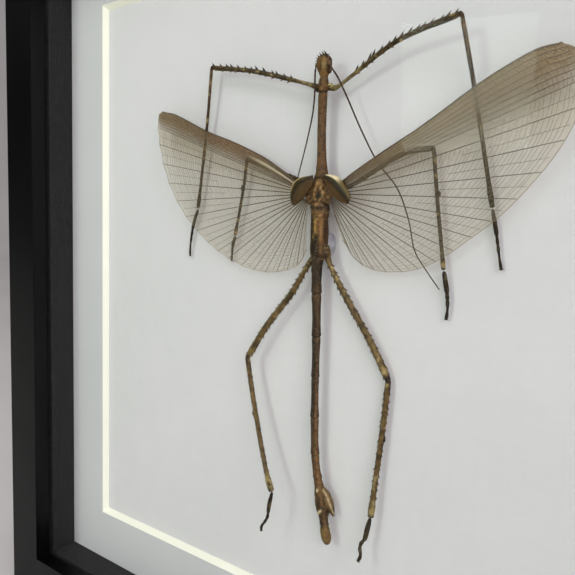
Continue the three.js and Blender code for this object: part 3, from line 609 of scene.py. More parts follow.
def mottle_group():
    """Blotches darker and lighter than a colour, with specks, and a height for them."""
    tree, g, source, sink = new_group(
        "mottle",
        [("Vector", "Vector"), ("Color", "Color"), ("Blotch Scale", "Float", 700.0),
         ("Speck Scale", "Float", 2600.0), ("Dark", "Float", 0.5), ("Light", "Float", 0.35)],
        [("Color", "Color"), ("Height", "Float")],
    )
    at = source.outputs
    blotch = g.noise(at["Vector"], at["Blotch Scale"], 5.0, 0.62)
    speck = g.noise(at["Vector"], at["Speck Scale"], 2.0, 0.5)
    dark = g.maths("MULTIPLY", g.span(blotch, 0.46, 0.66), at["Dark"])
    shaded = g.mix(dark, at["Color"], (0.012, 0.008, 0.005, 1))
    light = g.maths("MULTIPLY", g.span(speck, 0.54, 0.72), at["Light"])
    lit = g.mix(light, shaded, (0.42, 0.33, 0.18, 1))
    g.feed(sink.inputs["Color"], lit)
    large, small = g.maths("MULTIPLY", blotch, 0.6), g.maths("MULTIPLY", speck, 0.4)
    g.feed(sink.inputs["Height"], g.maths("ADD", large, small))
    return tree


def fibre_group():
    """Short crossing fibres, as in paper and pressed board."""
    tree, g, source, sink = new_group(
        "fibre",
        [("Vector", "Vector"), ("Scale", "Float", 900.0)],
        [("Mask", "Float"), ("Height", "Float")],
    )
    at = source.outputs
    one = g.noise(g.stretched(at["Vector"], (1.0, 1.0, 0.18)), at["Scale"], 4.0)
    two = g.noise(g.stretched(at["Vector"], (0.18, 1.0, 1.0)), at["Scale"], 4.0)
    both = g.maths("MULTIPLY", g.maths("ADD", one, two), 0.5)
    g.feed(sink.inputs["Mask"], g.span(both, 0.38, 0.62))
    g.feed(sink.inputs["Height"], both)
    return tree


def smudge_group():
    """A soft, wide change of gloss or tone, with a few fine scratches."""
    tree, g, source, sink = new_group(
        "smudge",
        [("Vector", "Vector"), ("Scale", "Float", 30.0)],
        [("Mask", "Float"), ("Scratch", "Float")],
    )
    at = source.outputs
    cloud = g.noise(at["Vector"], at["Scale"], 4.0, 0.6)
    fine = g.noise(g.stretched(at["Vector"], (14.0, 14.0, 0.9)), at["Scale"], 2.0)
    g.feed(sink.inputs["Mask"], g.span(cloud, 0.35, 0.65))
    g.feed(sink.inputs["Scratch"], g.span(fine, 0.62, 0.7))
    return tree


GROUPS = {"mottle": mottle_group(), "fibre": fibre_group(), "smudge": smudge_group()}

# ---- Materials ----


class Finish(Graph):
    """A new material with its own surface shader, and places to paint from."""

    def __init__(self, name, base, roughness, **plain):
        self.material = bpy.data.materials.new(name)
        self.material.use_nodes = True
        super().__init__(self.material.node_tree)
        self.material.node_tree.nodes.clear()
        self.shader = self.add("BsdfPrincipled")
        self.output = self.add("OutputMaterial", {"Surface": self.shader})
        self.place = self.add("TexCoord").outputs["Object"]
        self.set("Base Color", (*base, 1))
        self.set("Roughness", roughness)
        for key, value in plain.items():
            self.set(key.replace("_", " "), value)

    def set(self, socket, value):
        self.feed(self.shader.inputs[socket], value)

    def group(self, name, inputs):
        node = self.add("Group")
        node.node_tree = GROUPS[name]
        for key, value in inputs.items():
            self.feed(node.inputs[key], value)
        return node

    def bump(self, height, strength, distance):
        self.set("Normal", self.add("Bump", {"Height": height, "Strength": strength, "Distance": distance}))


def cuticle_finish(name, roughness, blotch, speck, dark, light, relief):
    """Dry insect skin: the painted colour, warmed, blotched and speckled, with fine grain."""
    m = Finish(name, BARK, roughness, Specular_IOR_Level=0.16)
    paint = m.add("Attribute", attribute_name="paint")
    warm = m.mix(1.0, paint.outputs["Color"], (0.88, 0.8, 0.6, 1), "MULTIPLY")
    inputs = {"Vector": m.place, "Color": warm, "Blotch Scale": blotch, "Speck Scale": speck,
              "Dark": dark, "Light": light}
    mottle = m.group("mottle", inputs)
    m.set("Base Color", mottle.outputs["Color"])
    m.set("Roughness", m.span(mottle.outputs["Height"], 0.3, 0.7, roughness - 0.12, roughness + 0.15))
    m.bump(mottle.outputs["Height"], 0.6, relief)
    return m.material


def membrane_finish(name, tone, roughness, crinkle, clear):
    """Thin glossy wing skin. It stains what shows through it, and clear is the share that only stains."""
    m = Finish(name, MEMBRANE_TINT, roughness, Specular_IOR_Level=0.9)
    paint = m.add("Attribute", attribute_name="paint")
    cloud = m.noise(m.place, 90.0, 4.0)
    fine = m.noise(m.place, crinkle, 3.0, 0.6)
    shade = m.span(cloud, 0.3, 0.7, tone - 0.08, tone + 0.08)
    grey = m.add("CombineColor", {0: shade, 1: shade, 2: shade})
    m.set("Base Color", m.mix(1.0, paint.outputs["Color"], grey, "MULTIPLY"))
    cover = m.maths("MULTIPLY", paint.outputs["Alpha"], m.span(fine, 0.3, 0.7, 0.85, 1.15))
    m.set("Alpha", cover)
    m.set("Roughness", m.span(fine, 0.35, 0.65, roughness - 0.1, roughness + 0.15))
    m.bump(fine, 0.8, 0.0003)
    stain = m.mix(cover, (1, 1, 1, 1), SKIN_STAIN)
    blend = m.add("MixShader", {0: clear, 1: m.shader, 2: m.add("BsdfTransparent", {"Color": stain})})
    m.feed(m.output.inputs["Surface"], blend)
    return m.material


def vein_finish():
    """Brown horn with a dark grain."""
    m = Finish("vein_brown", VEIN_TINT, 0.45)
    paint = m.add("Attribute", attribute_name="paint")
    grain = m.noise(m.place, 1500.0)
    m.set("Base Color", m.mix(m.span(grain, 0.4, 0.7, 0, 0.35), paint.outputs["Color"], (*NEAR_BLACK, 1)))
    m.bump(grain, 0.4, 0.00004)
    return m.material


def eye_finish():
    m = Finish("eye_glossy", colour("4a2415"), 0.16, Coat_Weight=0.6)
    facets = m.add("TexVoronoi", {"Vector": m.place, "Scale": 9000.0}, feature="DISTANCE_TO_EDGE")
    streak = m.noise(m.stretched(m.place, (1.0, 1.0, 0.35)), 2200.0)
    m.set("Base Color", m.mix(m.span(streak, 0.4, 0.65), (*colour("3a1a10"), 1), (*colour("8a5a30"), 1)))
    m.bump(m.span(facets.outputs[0], 0.0, 0.12), 0.5, 0.00002)
    return m.material


def frame_finish():
    m = Finish("frame_satin_black", colour("040504"), 0.33, Specular_IOR_Level=0.15)
    smudge = m.group("smudge", {"Vector": m.place, "Scale": 26.0})
    grain = m.noise(m.place, 1400.0, 3.0)
    tone = m.mix(smudge.outputs["Mask"], (*colour("030403"), 1), (*colour("060706"), 1))
    m.set("Base Color", m.mix(m.span(grain, 0.62, 0.72, 0, 0.3), tone, (*colour("10110f"), 1)))
    m.set("Roughness", m.span(smudge.outputs["Mask"], 0, 1, 0.28, 0.4))
    m.bump(grain, 0.25, 0.00006)
    return m.material


def liner_finish():
    m = Finish("liner_matt_black", colour("1c1c1b"), 0.85, Specular_IOR_Level=0.25)
    fibre = m.group("fibre", {"Vector": m.place, "Scale": 1300.0})
    m.set("Base Color", m.mix(fibre.outputs["Mask"], (*colour("1c1d1c"), 1), (*colour("2b2b2a"), 1)))
    m.bump(fibre.outputs["Height"], 0.4, 0.00008)
    return m.material


def paper_finish(name, face, core, scale, depth):
    """Card with a dyed or white face. The core shows where the card is cut at an angle."""
    m = Finish(name, face, 0.9)
    fibre = m.group("fibre", {"Vector": m.place, "Scale": scale})
    cloud = m.noise(m.place, 14.0, 2.0)
    normal = m.add("TexCoord").outputs["Normal"]
    level = m.maths("ABSOLUTE", m.add("SeparateXYZ", {"Vector": normal}).outputs["Y"])
    cut = m.span(level, 0.95, 0.85)
    tone = m.mix(m.span(cloud, 0.3, 0.7, 0, 0.5), (*face, 1), (*(face * 0.965), 1))
    tone = m.mix(m.span(fibre.outputs["Mask"], 0.2, 0.8, 0, 0.35), tone, (*(face * 0.94), 1))
    m.set("Base Color", m.mix(cut, tone, (*core, 1)))
    m.bump(fibre.outputs["Height"], 0.3, depth)
    return m.material


def board_finish():
    m = Finish("panel_hardboard", colour("6f5238"), 0.75)
    fibre = m.group("fibre", {"Vector": m.place, "Scale": 420.0})
    smudge = m.group("smudge", {"Vector": m.place, "Scale": 18.0})
    tone = m.mix(fibre.outputs["Mask"], (*colour("5c4129"), 1), (*colour("84643f"), 1))
    m.set("Base Color", m.mix(m.maths("MULTIPLY", smudge.outputs["Mask"], 0.3), tone, (*colour("4c3826"), 1)))
    m.bump(fibre.outputs["Height"], 0.6, 0.00015)
    return m.material


def steel_finish():
    m = Finish("zinc_steel", colour("a8a9a7"), 0.36, Metallic=1.0)
    smudge = m.group("smudge", {"Vector": m.place, "Scale": 160.0})
    m.set("Base Color", m.mix(smudge.outputs["Mask"], (*colour("8e908f"), 1), (*colour("b9bab6"), 1)))
    m.set("Roughness", m.span(smudge.outputs["Scratch"], 0, 1, 0.34, 0.5))
    m.bump(smudge.outputs["Scratch"], 0.2, 0.00002)
    return m.material


def see_through(m, share_shown):
    """Lets soft light and shadow rays pass straight through glass."""
    path = m.add("LightPath")
    passing = m.maths("MAXIMUM", path.outputs["Is Shadow Ray"], path.outputs["Is Diffuse Ray"])
    passing = m.maths("MULTIPLY", passing, share_shown)
    clear = m.add("BsdfTransparent")
    blend = m.add("MixShader", {0: passing, 1: m.shader, 2: clear})
    m.feed(m.output.inputs["Surface"], blend)


def pane_finish():
    m = Finish("pane_clear", colour("f6faf8"), 0.0, Transmission_Weight=1.0, IOR=1.0, Coat_Weight=0.05)
    smudge = m.group("smudge", {"Vector": m.place, "Scale": 12.0})
    m.set("Base Color", m.mix(smudge.outputs["Mask"], (*colour("fafcfb"), 1), (*colour("f3f7f5"), 1)))
    see_through(m, 1.0)
    return m.material


def glue_finish():
    m = Finish("glue_hardened", colour("c4c5cf"), 0.08, Transmission_Weight=0.3, IOR=1.42)
    lump = m.noise(m.place, 500.0, 2.0)
    m.set("Base Color", m.mix(m.span(lump, 0.4, 0.7), (*colour("aaabb1"), 1), (*colour("cfd0d4"), 1)))
    m.bump(lump, 0.3, 0.0002)
    see_through(m, 0.6)
    return m.material


def stage_finish():
    m = Finish("stage_pale", colour("dedcd8"), 0.85)
    cloud = m.noise(m.place, 3.0, 3.0)
    m.set("Base Color", m.mix(m.span(cloud, 0.3, 0.7), (*colour("dbd9d5"), 1), (*colour("e3e1dd"), 1)))
    return m.material


# ---- The case ----


def dress_node(name, material):
    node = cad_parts[name]
    node.data.materials.clear()
    node.data.materials.append(material)


def add_case():
    black = frame_finish()
    liner = liner_finish()
    steel = steel_finish()
    for side in SIDES:
        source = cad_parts[f"rail_{side}"]
        rail = bpy.data.objects.new(f"rail_{side}_lacquered", source.data.copy())
        bpy.context.scene.collection.objects.link(rail)
        rail.data.materials.clear()
        rail.data.materials.append(black)
        soften = rail.modifiers.new("edges", "BEVEL")
        soften.width = RAIL_EDGE * MM
        soften.segments = 3
        soften.limit_method = "ANGLE"
        soften.harden_normals = True
        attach(rail, "root")
        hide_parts(f"rail_{side}")
        dress_node(f"liner_{side}", liner)
        dress_node(f"tab_{side}", steel)
    dress_node("hanger", steel)
    dress_node("glass", pane_finish())
    dress_node("mat", paper_finish("mat_card", colour("d0d2cf"), colour("ffffec"), 1100.0, 0.00005))
    dress_node("backing", paper_finish("backing_card", colour("dededb"), colour("e6e4dc"), 800.0, 0.00004))
    dress_node("back_panel", board_finish())


# ---- The trunk ----

body_route = Route(BODY_LINE)


def body_spot(z, right, forward):
    """A place beside the body's middle line, right of it and towards the viewer."""
    return body_route.at(body_route.share_at(z)) + np.array([right, -forward, 0])


def trunk_tables():
    """Half width and half depth down the whole body."""
    rows = list(TRUNK)
    for (start, start_half), (end, end_half) in zip(ABDOMEN, ABDOMEN[1:]):
        for t, swell in RING_SWELL:
            half = (start_half + (end_half - start_half) * t) * swell
            rows.append((start + (end - start) * t, half, half * 0.95))
    rows += CLUB
    return [(z, wide) for z, wide, _ in rows], [(z, deep) for z, _, deep in rows]


FURROWS = 11  # lengthwise furrows round the abdomen

# How rough the skin is down the body, and its colour along the middle.
ROUGHNESS = [
    (200, 0.08), (195.5, 0.13), (194, 0.04), (177, 0.05), (172, 0.22), (166, 0.4), (160.5, 0.38),
    (158, 0.08), (152, 0.07), (147, 0.2), (142, 0.12), (139, 0.04), (86, 0.03), (80, 0.08),
    (72, 0.12), (62, 0.1),
]
BACK_COLOURS = [
    (200, colour("86704a")), (198.5, colour("6d5537")), (195.6, colour("7c5f3f")), (195.0, colour("241a10")),
    (194.6, colour("674a2e")), (184, colour("66503b")), (176, colour("6a4d34")), (172, colour("54401f")),
    (169.5, colour("7d6040")), (167, colour("644726")), (163, colour("5f452b")), (161.2, colour("78603f")),
    (158, colour("735532")), (152, colour("5c452a")), (147.5, colour("43362a")), (143, colour("322920")),
    (137, colour("473727")), (130, colour("2c241d")), (104, colour("2c231c")), (97, colour("4a3826")),
    (88, colour("523d27")), (82, colour("674d2e")), (76, colour("544025")), (71, colour("48351f")),
    (68.2, colour("2c2016")), (66.5, colour("806a42")), (63, colour("725f3e")), (61.9, colour("2c2116")),
]


def ridges_at(x, z):
    """1 on the crossing ridges between the wing hinges and 0 away from them, x from the body's middle."""
    inner = np.abs(x - 0.3) - (z - 162.6) * 0.42
    outer = np.abs(x - 0.3) - (170.2 - z) * 0.36
    low = np.exp(-(inner / 0.2) ** 2) * fade(162.5, 163.2, z) * (1 - fade(167.5, 168.5, z))
    high = np.exp(-(outer / 0.2) ** 2) * fade(164, 165, z) * (1 - fade(169.5, 170.2, z))
    return np.maximum(low, high)


def joint_tones(base, z):
    """A thin dark line in each joint, with a paler rim below it."""
    for line in JOINT_LINES:
        base = tint(base, NEAR_BLACK, 0.75 * np.exp(-((z - line) / 0.22) ** 2))
        base = tint(base, TAN, 0.2 * np.exp(-((z - line + 0.7) / 0.4) ** 2))
    return base


def hinge_tones(base, x, z, points):
    """The lumpy middle: pale crossing ridges over dark hollows, and a dark belt below them."""
    lumps = ripple(points, 2.2, 11)
    rough = fade(161.5, 163, z) * (1 - fade(170.5, 172.5, z))
    base = tint(base, NEAR_BLACK, rough * fade(0.0, 0.5, -lumps) * 0.75)
    base = tint(base, colour("a58560"), rough * fade(0.4, 0.9, lumps) * 0.4)
    base = tint(base, NEAR_BLACK, np.exp(-((x - 0.3) / 0.75) ** 2 - ((z - 166) / 1.8) ** 2) * 0.8)
    base = tint(base, colour("bd9c70"), 0.85 * ridges_at(x, z))
    return tint(base, NEAR_BLACK, np.exp(-((z - 162.4) / 0.4) ** 2) * 0.75)


def waist_tones(base, x, z):
    """A yellow stem line that forks at the top, beside a dark edge and an orange band."""
    waist = fade(149, 150, z) * (1 - fade(160.6, 161.2, z))
    base = tint(base, colour("241c12"), waist * fade(0.1, 0.7, -x) * 0.85)
    base = tint(base, colour("7f5b38"), waist * np.exp(-((x - 1.2) / 0.5) ** 2) * 0.6)
    base = tint(base, colour("b08c62"), waist * np.exp(-((x - 1.8) / 0.16) ** 2) * 0.8)
    base = tint(base, colour("38200f"), waist * fade(2.1, 2.45, x) * 0.8)
    stem = fade(152, 153.5, z) * (1 - fade(160.0, 160.8, z))
    fork = np.abs(x - 0.1) - np.clip((z - 158.3) * 0.45, 0, 1) - np.clip((155.6 - z) * 0.5, 0, 0.9)
    return tint(base, colour("c7a75c"), stem * np.exp(-(fork / 0.2) ** 2) * 0.85)


def saddle_tones(base, x, z, points):
    """A black saddle with cream flecks."""
    lens = np.sqrt(np.clip(1 - ((z - 151.2) / 4.2) ** 2, 0.01, 1)) * 1.25
    saddle = np.exp(-((x - 0.25) / lens) ** 4) * fade(147.0, 147.6, z) * (1 - fade(154.6, 155.4, z))
    base = tint(base, colour("171310"), saddle * 0.92)
    return tint(base, CREAM, saddle * fade(0.8, 1.25, ripple(points, 0.6, 5)) * 0.75)


def abdomen_tones(base, x, z, angle, points):
    """Dark furrows, a paler side line and scuffs along the abdomen."""
    right = x / 2.0
    tail = 1 - fade(139, 142, z)
    furrow = fade(0.3, 0.9, np.cos(FURROWS * angle)) * (1 - fade(146.5, 147.5, z)) * fade(96, 104, z)
    base = tint(base, NEAR_BLACK, furrow * 0.5)
    pale = 0.25 + 0.4 * (1 - fade(104, 116, z))
    side_line = fade(0.22, 0.4, right) * (1 - fade(0.5, 0.7, right))
    base = tint(base, colour("8b6c4c"), tail * side_line * pale)
    base = tint(base, colour("1d1610"), tail * fade(0.25, 0.6, -right) * fade(86, 92, z) * 0.6)
    scuff = fade(0.7, 1.2, ripple(points * np.array([1.0, 1.0, 0.25]), 1.6, 23))
    return tint(base, colour("7a6550"), tail * scuff * 0.4)


def club_tones(base, z, points):
    """Cream streaks on the clubbed rings."""
    club = fade(69, 71, z) * (1 - fade(78.5, 80, z))
    grain = ripple(points * np.array([1.6, 1.0, 0.35]), 1.3, 21)
    base = tint(base, NEAR_BLACK, club * fade(0.2, 0.9, -grain) * 0.65)
    return tint(base, colour("e6dcc4"), club * fade(0.45, 0.9, grain) * 0.9)


def trunk_paint(share, angle, points):
    """Colours of the body by height z and by x, how far right of its middle a point lies."""
    z = points[:, 2]
    x = points[:, 0] - body_route.at(share)[:, 0]
    base = joint_tones(shades(BACK_COLOURS, z), z)
    base = hinge_tones(base, x, z, points)
    # Dark blotches behind the head.
    neck = fade(195, 195.3, z) * (1 - fade(199, 200, z))
    base = tint(base, colour("22160c"), neck * fade(0.1, 0.7, ripple(points, 1.2, 13)) * 0.75)
    base = waist_tones(base, x, z)
    base = saddle_tones(base, x, z, points)
    base = abdomen_tones(base, x, z, angle, points)
    return club_tones(base, z, points)


def trunk_relief(share, angle, points):
    """Lumps, ridges and joint grooves on the body."""
    z = points[:, 2]
    lift = smooth_read(ROUGHNESS, z) * (0.65 * ripple(points, 2.4, 3) + 0.45 * ripple(points, 1.1, 4))
    for line in JOINT_LINES:
        lift = lift - 0.13 * np.exp(-((z - line) / 0.2) ** 2)
        lift = lift + 0.12 * np.exp(-((z - line - 0.6) / 0.35) ** 2)
    keel = np.exp(-((np.sin(angle) - 1) / 0.06) ** 2)
    lift = lift + keel * 0.1 * fade(176, 180, z) * (1 - fade(192, 195, z))
    x = points[:, 0] - body_route.at(share)[:, 0]
    lift = lift + 0.3 * ridges_at(x, z) - 0.35 * np.exp(-((x - 0.3) / 0.8) ** 2 - ((z - 166) / 1.7) ** 2)
    return lift - 0.06 * np.cos(FURROWS * angle) * (1 - fade(146.5, 147.5, z)) * fade(90, 100, z)


def trunk_shape():
    wides, deeps = trunk_tables()
    heights = np.arange(TRUNK[0][0], TAIL_TIP, -TRUNK_STEP)
    shares = body_route.share_at(heights)
    wide, deep = smooth_read(wides, heights), smooth_read(deeps, heights)
    return sweep(body_route, shares, wide, deep, 28, trunk_paint, trunk_relief)


def rough_lump(centre, radii, tones, size, lift, seed):
    """A knobbly swelling. tones are its own colour, the colour of its pits and the colour of its flecks."""
    lump = ball(centre, radii, tones[0], 16, 24)
    bumps = ripple(lump.points, size, seed)
    lump.points = lump.points + lift * bumps[:, None] * np.array([0.5, -1, 0.5])
    pits = tint(lump.paint[:, :3], tones[1], fade(0.0, 0.7, -bumps) * 0.85)
    lump.paint[:, :3] = tint(pits, tones[2], fade(0.35, 0.9, bumps) * 0.7)
    return lump


def trunk_lumps():
    """Swellings at the wing hinges, at the roots of the fore legs and at the right hip."""
    pitted = (colour("6a5034"), colour("1c140c"), colour("a88d66"))
    creamy = (colour("d2c79c"), colour("3a2c19"), colour("ece3c4"))
    knotted = (colour("4a3a22"), NEAR_BLACK, TAN)
    hip = (colour("553c22"), NEAR_BLACK, CREAM)
    lumps = []
    for wing in WINGS.values():
        centre = spot(wing["hinge"][0] - 0.15 * wing["side"], 5.2, HINGE_LUMP_Z)
        lumps.append(rough_lump(centre, HINGE_LUMP, pitted, 0.9, 0.2, 19))
    lumps.append(rough_lump(spot(0.15, 5.0, 196.5), (0.75, 0.8, 1.15), knotted, 0.8, 0.12, 26))
    lumps.append(rough_lump(spot(4.5, 5.2, 196.75), (0.8, 0.7, 0.68), creamy, 0.9, 0.06, 27))
    lumps.append(rough_lump(spot(3.6, 4.7, 150.0), (1.4, 1.1, 2.7), hip, 0.55, 0.22, 28))
    return lumps


def tail_plate_shape():
    """The boat-shaped plate that swings out to the right of the club."""
    route = Route(TAIL_PLATE)
    half = [(0, 0.7), (0.3, 1.4), (0.6, 1.5), (0.85, 0.9), (1, 0.3)]
    shares = np.linspace(0, 1, 30)

    def paint(share, angle, points):
        base = shades([(0, colour("5f4a2e")), (0.5, colour("725a38")), (1, colour("2c2116"))], share)
        base = tint(base, NEAR_BLACK, fade(0.2, 0.9, ripple(points, 1.2, 35)) * 0.5)
        base = tint(base, colour("e0d4b6"), np.exp(-((np.cos(angle) + 0.75) / 0.15) ** 2) * 0.7)
        return tint(base, NEAR_BLACK, fade(0.55, 0.95, np.cos(angle)) * 0.8)

    wide = smooth_read(half, shares)
    return sweep(route, shares, wide, wide * 1.1, 18, paint, lambda s, a, p: 0.1 * ripple(p, 1.4, 8))


# ---- The head ----

SKULL = [
    (198.9, 1.0, 0.95), (199.8, 1.32, 1.35), (200.8, 1.85, 1.75), (202, 2.2, 1.88), (203.3, 2.3, 1.85),
    (204.2, 2.0, 1.6), (204.75, 1.4, 1.15), (205.05, 0.5, 0.6),
]


SKULL_COLOURS = [
    (199, colour("957a4c")), (199.9, colour("86673c")), (200.8, colour("6e532d")), (203.4, colour("7a5c32")),
    (204.2, colour("6e4f28")), (205, colour("3c2912")),
]


def skull_seams(right, width):
    """1 on the two seams beside the brow, and 0 away from them."""
    return np.exp(-((np.abs(right - 0.85) - 0.8) / width) ** 2)


def skull_paint(share, angle, points):
    z = points[:, 2]
    right = points[:, 0] - body_route.at(share)[:, 0]
    base = shades(SKULL_COLOURS, z)
    base = tint(base, NEAR_BLACK, fade(0.4, 1.0, ripple(points, 0.9, 33)) * 0.6)
    patch = np.exp(-((right - 0.95) / 0.6) ** 2 - ((z - 202.0) / 1.25) ** 2)
    base = tint(base, colour("a89c72"), 0.65 * patch)
    # Painted shade: the head's right edge is darkened to a deep red-brown, where its side is in shadow.
    base = tint(base, colour("33190d"), fade(1.65, 2.0, right) * 0.85)
    base = tint(base, colour("4b3519"), fade(1.1, 1.7, -right) * 0.6)
    seam = skull_seams(right, 0.12) * fade(200.2, 201, z) * (1 - fade(203.2, 203.8, z))
    return tint(base, colour("2a1a0c"), 0.8 * seam)


def skull_relief(share, angle, points):
    z = points[:, 2]
    right = points[:, 0] - body_route.at(share)[:, 0]
    front = fade(0.0, 0.6, np.sin(angle))
    crown = 0.2 * np.exp(-((right - 0.95) / 0.6) ** 2 - ((z - 202) / 1.1) ** 2)
    brow = 0.2 * np.exp(-((np.abs(right) - 1.05) / 0.22) ** 2) * fade(200.6, 201.4, z)
    groove = -0.15 * skull_seams(right, 0.13)
    return front * (crown + brow + groove) + 0.05 * ripple(points, 0.9, 31)


def head_shape():
    heights = np.linspace(SKULL[0][0], SKULL[-1][0], 46)
    shares = body_route.share_at(heights)
    wide = smooth_read([(z, w) for z, w, _ in SKULL], heights)
    deep = smooth_read([(z, d) for z, _, d in SKULL], heights)
    return sweep(body_route, shares, wide, deep, 36, skull_paint, skull_relief)


def head_extras():
    """Hooked thorns on the brow and cheek, sockets, jaws and palps."""
    dark = colour("2a1a10")
    first, second = [], []
    swept_left = (-0.95, 0, -0.1)
    for right, z, length in CROWN_HOOKS:
        foot = body_spot(z, right, 0.9)
        first.append(thorn(foot, (0.0, -0.2, 0.95), length, 0.5, dark, NEAR_BLACK, curl=swept_left, sides=8))
    for i in range(CHEEK_THORNS):
        foot = body_spot(203.9 - 0.7 * i, -1.6 - 0.1 * i, 0.5)
        first.append(thorn(foot, (-0.85, -0.3, 0.45), 1.05, 0.3, dark, NEAR_BLACK, curl=(-0.05, 0, 0.2)))
    for side in (-1, 1):
        socket = body_spot(203.3, side * 1.72, 0.0)
        second.append(ball(socket, (0.52, 0.52, 0.52), colour("7a6448"), 8, 14))
        right, forward, z = EYE_SPOTS[side]
        rim = body_spot(z, right - 0.15 * side, forward - 0.05)
        second.append(ball(rim, (0.82, 0.95, 1.08), colour("4d3418"), 10, 18))
    for right, z, forward in JAWS:
        first.append(ball(body_spot(z, right, forward), (0.5, 0.55, 0.45), colour("3c2612"), 8, 12))
    root, tip = colour("5a4426"), colour("2a1c10")
    for right, swing in PALPS:
        foot = body_spot(205.1, right, -0.75)
        second.append(thorn(foot, (swing, 0.5, 0.7), 0.7, 0.16, root, tip, curl=(0, 0.3, 0)))
    return first, second


def add_eyes(material):
    """Round glossy eyes, set in rims on the sides of the head."""
    for side, name in ((-1, "left"), (1, "right")):
        right, forward, z = EYE_SPOTS[side]
        centre = body_spot(z, right, forward)
        shape = ball(centre, EYE_SHAPE * EYE_RADIUS, colour("4a2415"), 16, 24)
        add_piece(f"eye_ball_{name}", shape, material, [f"eye_{name}"])


ANTENNA_COLOURS = [
    (0, colour("7c6a52")), (1.7, colour("665040")), (3, colour("33241f")), (60, colour("3d2b22")),
]  # by length from the head


def add_antennae(material):
    """Feelers with a stout first joint and many short rings that taper to the tip."""
    for name, places in ANTENNAE.items():
        route = Route(places)
        steps = int(route.length / ANTENNA_STEP)
        shares = np.linspace(0, 1, steps)
        length = shares * route.length
        radius = ANTENNA_RADIUS * np.interp(shares, [0, 1], [1.0, 0.55])
        scape = np.exp(-((length - 0.9) / 0.7) ** 4)
        radius = radius * (1 + 0.85 * scape) * (1 - 0.35 * np.exp(-((length - 1.85) / 0.15) ** 2))
        radius = radius * (1 + 0.07 * np.cos(length * 2 * math.pi / ANTENNA_RING))

        def paint(share, angle, points, reach=route.length):
            """Colours by length from the head. reach is this feeler's own length."""
            along = share * reach
            ring_ends = fade(0.7, 1.0, np.cos(along * 2 * math.pi / ANTENNA_RING))
            return tint(shades(ANTENNA_COLOURS, along), colour("5e4638"), 0.5 * ring_ends)

        shape = sweep(route, shares, radius, radius, 10, paint)
        add_piece(f"feeler_{name}", shape, material, [f"antenna_{name}"])


# ---- Legs ----

THIGH_COLOURS_AND_WING_SHADE = {
    "fore": [(0, DARK_BARK), (0.03, colour("5a4a2c")), (0.08, colour("8f8460")), (0.14, colour("a39877")),
             (0.22, colour("857955")), (0.3, colour("4f4630")), (0.6, colour("4a3f2c")),
             (0.93, colour("4d412c")), (1, DARK_BARK)],
    # The middle thighs lie under the wings. Their dark brown and black is partly their own colour and partly
    # painted shade of the wings' shadow.
    "middle": [(0, BARK), (0.1, colour("3a2f1e")), (0.5, colour("2e2416")), (1, NEAR_BLACK)],
    "hind": [(0, DARK_BARK), (0.05, colour("55401f")), (0.12, colour("6f6040")), (0.5, colour("70603f")),
             (0.85, colour("75653f")), (0.95, colour("8d7c55")), (0.985, NEAR_BLACK)],
}
SHANK_COLOURS_AND_WING_SHADE = {
    # The fore shanks darken below the knee, where they pass under the wings. This is partly their own colour
    # and partly painted shade of the wings' shadow.
    "fore": [(0, DARK_BARK), (0.06, colour("7f6b56")), (0.2, colour("4a3826")), (0.5, colour("33271a")),
             (0.92, colour("241b12")), (1, NEAR_BLACK)],
    # The middle shanks lie under the wings. Their dark brown is partly their own colour and partly painted
    # shade of the wings' shadow.
    "middle": [(0, DARK_BARK), (0.1, colour("2e2417")), (0.9, colour("352a19")), (0.97, colour("b9ab85")),
               (1, NEAR_BLACK)],
    "hind": [(0, NEAR_BLACK), (0.04, colour("5a4a2e")), (0.3, colour("766340")), (0.7, colour("6a583a")),
             (0.86, colour("73633f")), (0.96, colour("b0a47c")), (1, NEAR_BLACK)],
}


def limb_shape(places, shape, half, sides, stops, seed, patch, ridges=4):
    """One length of a leg: ridged, blotched, and painted from joint to joint."""
    route = Route(places)
    count = max(16, int(route.length / LIMB_STEP))
    shares = np.linspace(0, 1, count)
    radius = smooth_read(shape, shares) * half

    def paint(share, angle, points):
        base = shades(stops, share)
        blotch = ripple(points, 3.2, seed) + 0.6 * ripple(points, 1.3, seed + 1)
        base = tint(base, colour("241a10"), fade(0.2, 0.9, blotch) * 0.8 * patch)
        return tint(base, CREAM, fade(0.6, 1.1, -blotch) * 0.7 * patch)

    def relief(share, angle, points):
        inside = fade(0.02, 0.1, share) * (1 - fade(0.93, 0.99, share))
        return half * inside * (0.1 * np.cos(ridges * angle) + 0.07 * ripple(points, 1.5, seed + 2))

    return route, sweep(route, shares, radius, radius, sides, paint, relief)


def thorn_row(route, edge, shares, lengths, foot, base_colour, tip_colour):
    """Thorns along one edge of a limb that lean towards its far end."""
    row = []
    for share, length in zip(shares, lengths):
        along = route.along(share)
        across = across_of(along) * edge
        way = across + along * THORN_LEAN
        start = route.at(share) + across * foot * 0.75
        radius = 0.16 + length * 0.2
        row.append(thorn(start, way, length, radius, base_colour, tip_colour, curl=along * length * 0.2))
    return row


def row_of(start, end, count, low, high, seed):
    """Uneven spacing and length for a row of thorns."""
    rng = np.random.default_rng(seed)
    gap = (end - start) / (count - 1)
    shares = np.linspace(start, end, count) + rng.uniform(-0.22, 0.22, count) * gap
    return shares, rng.uniform(low, high, count)


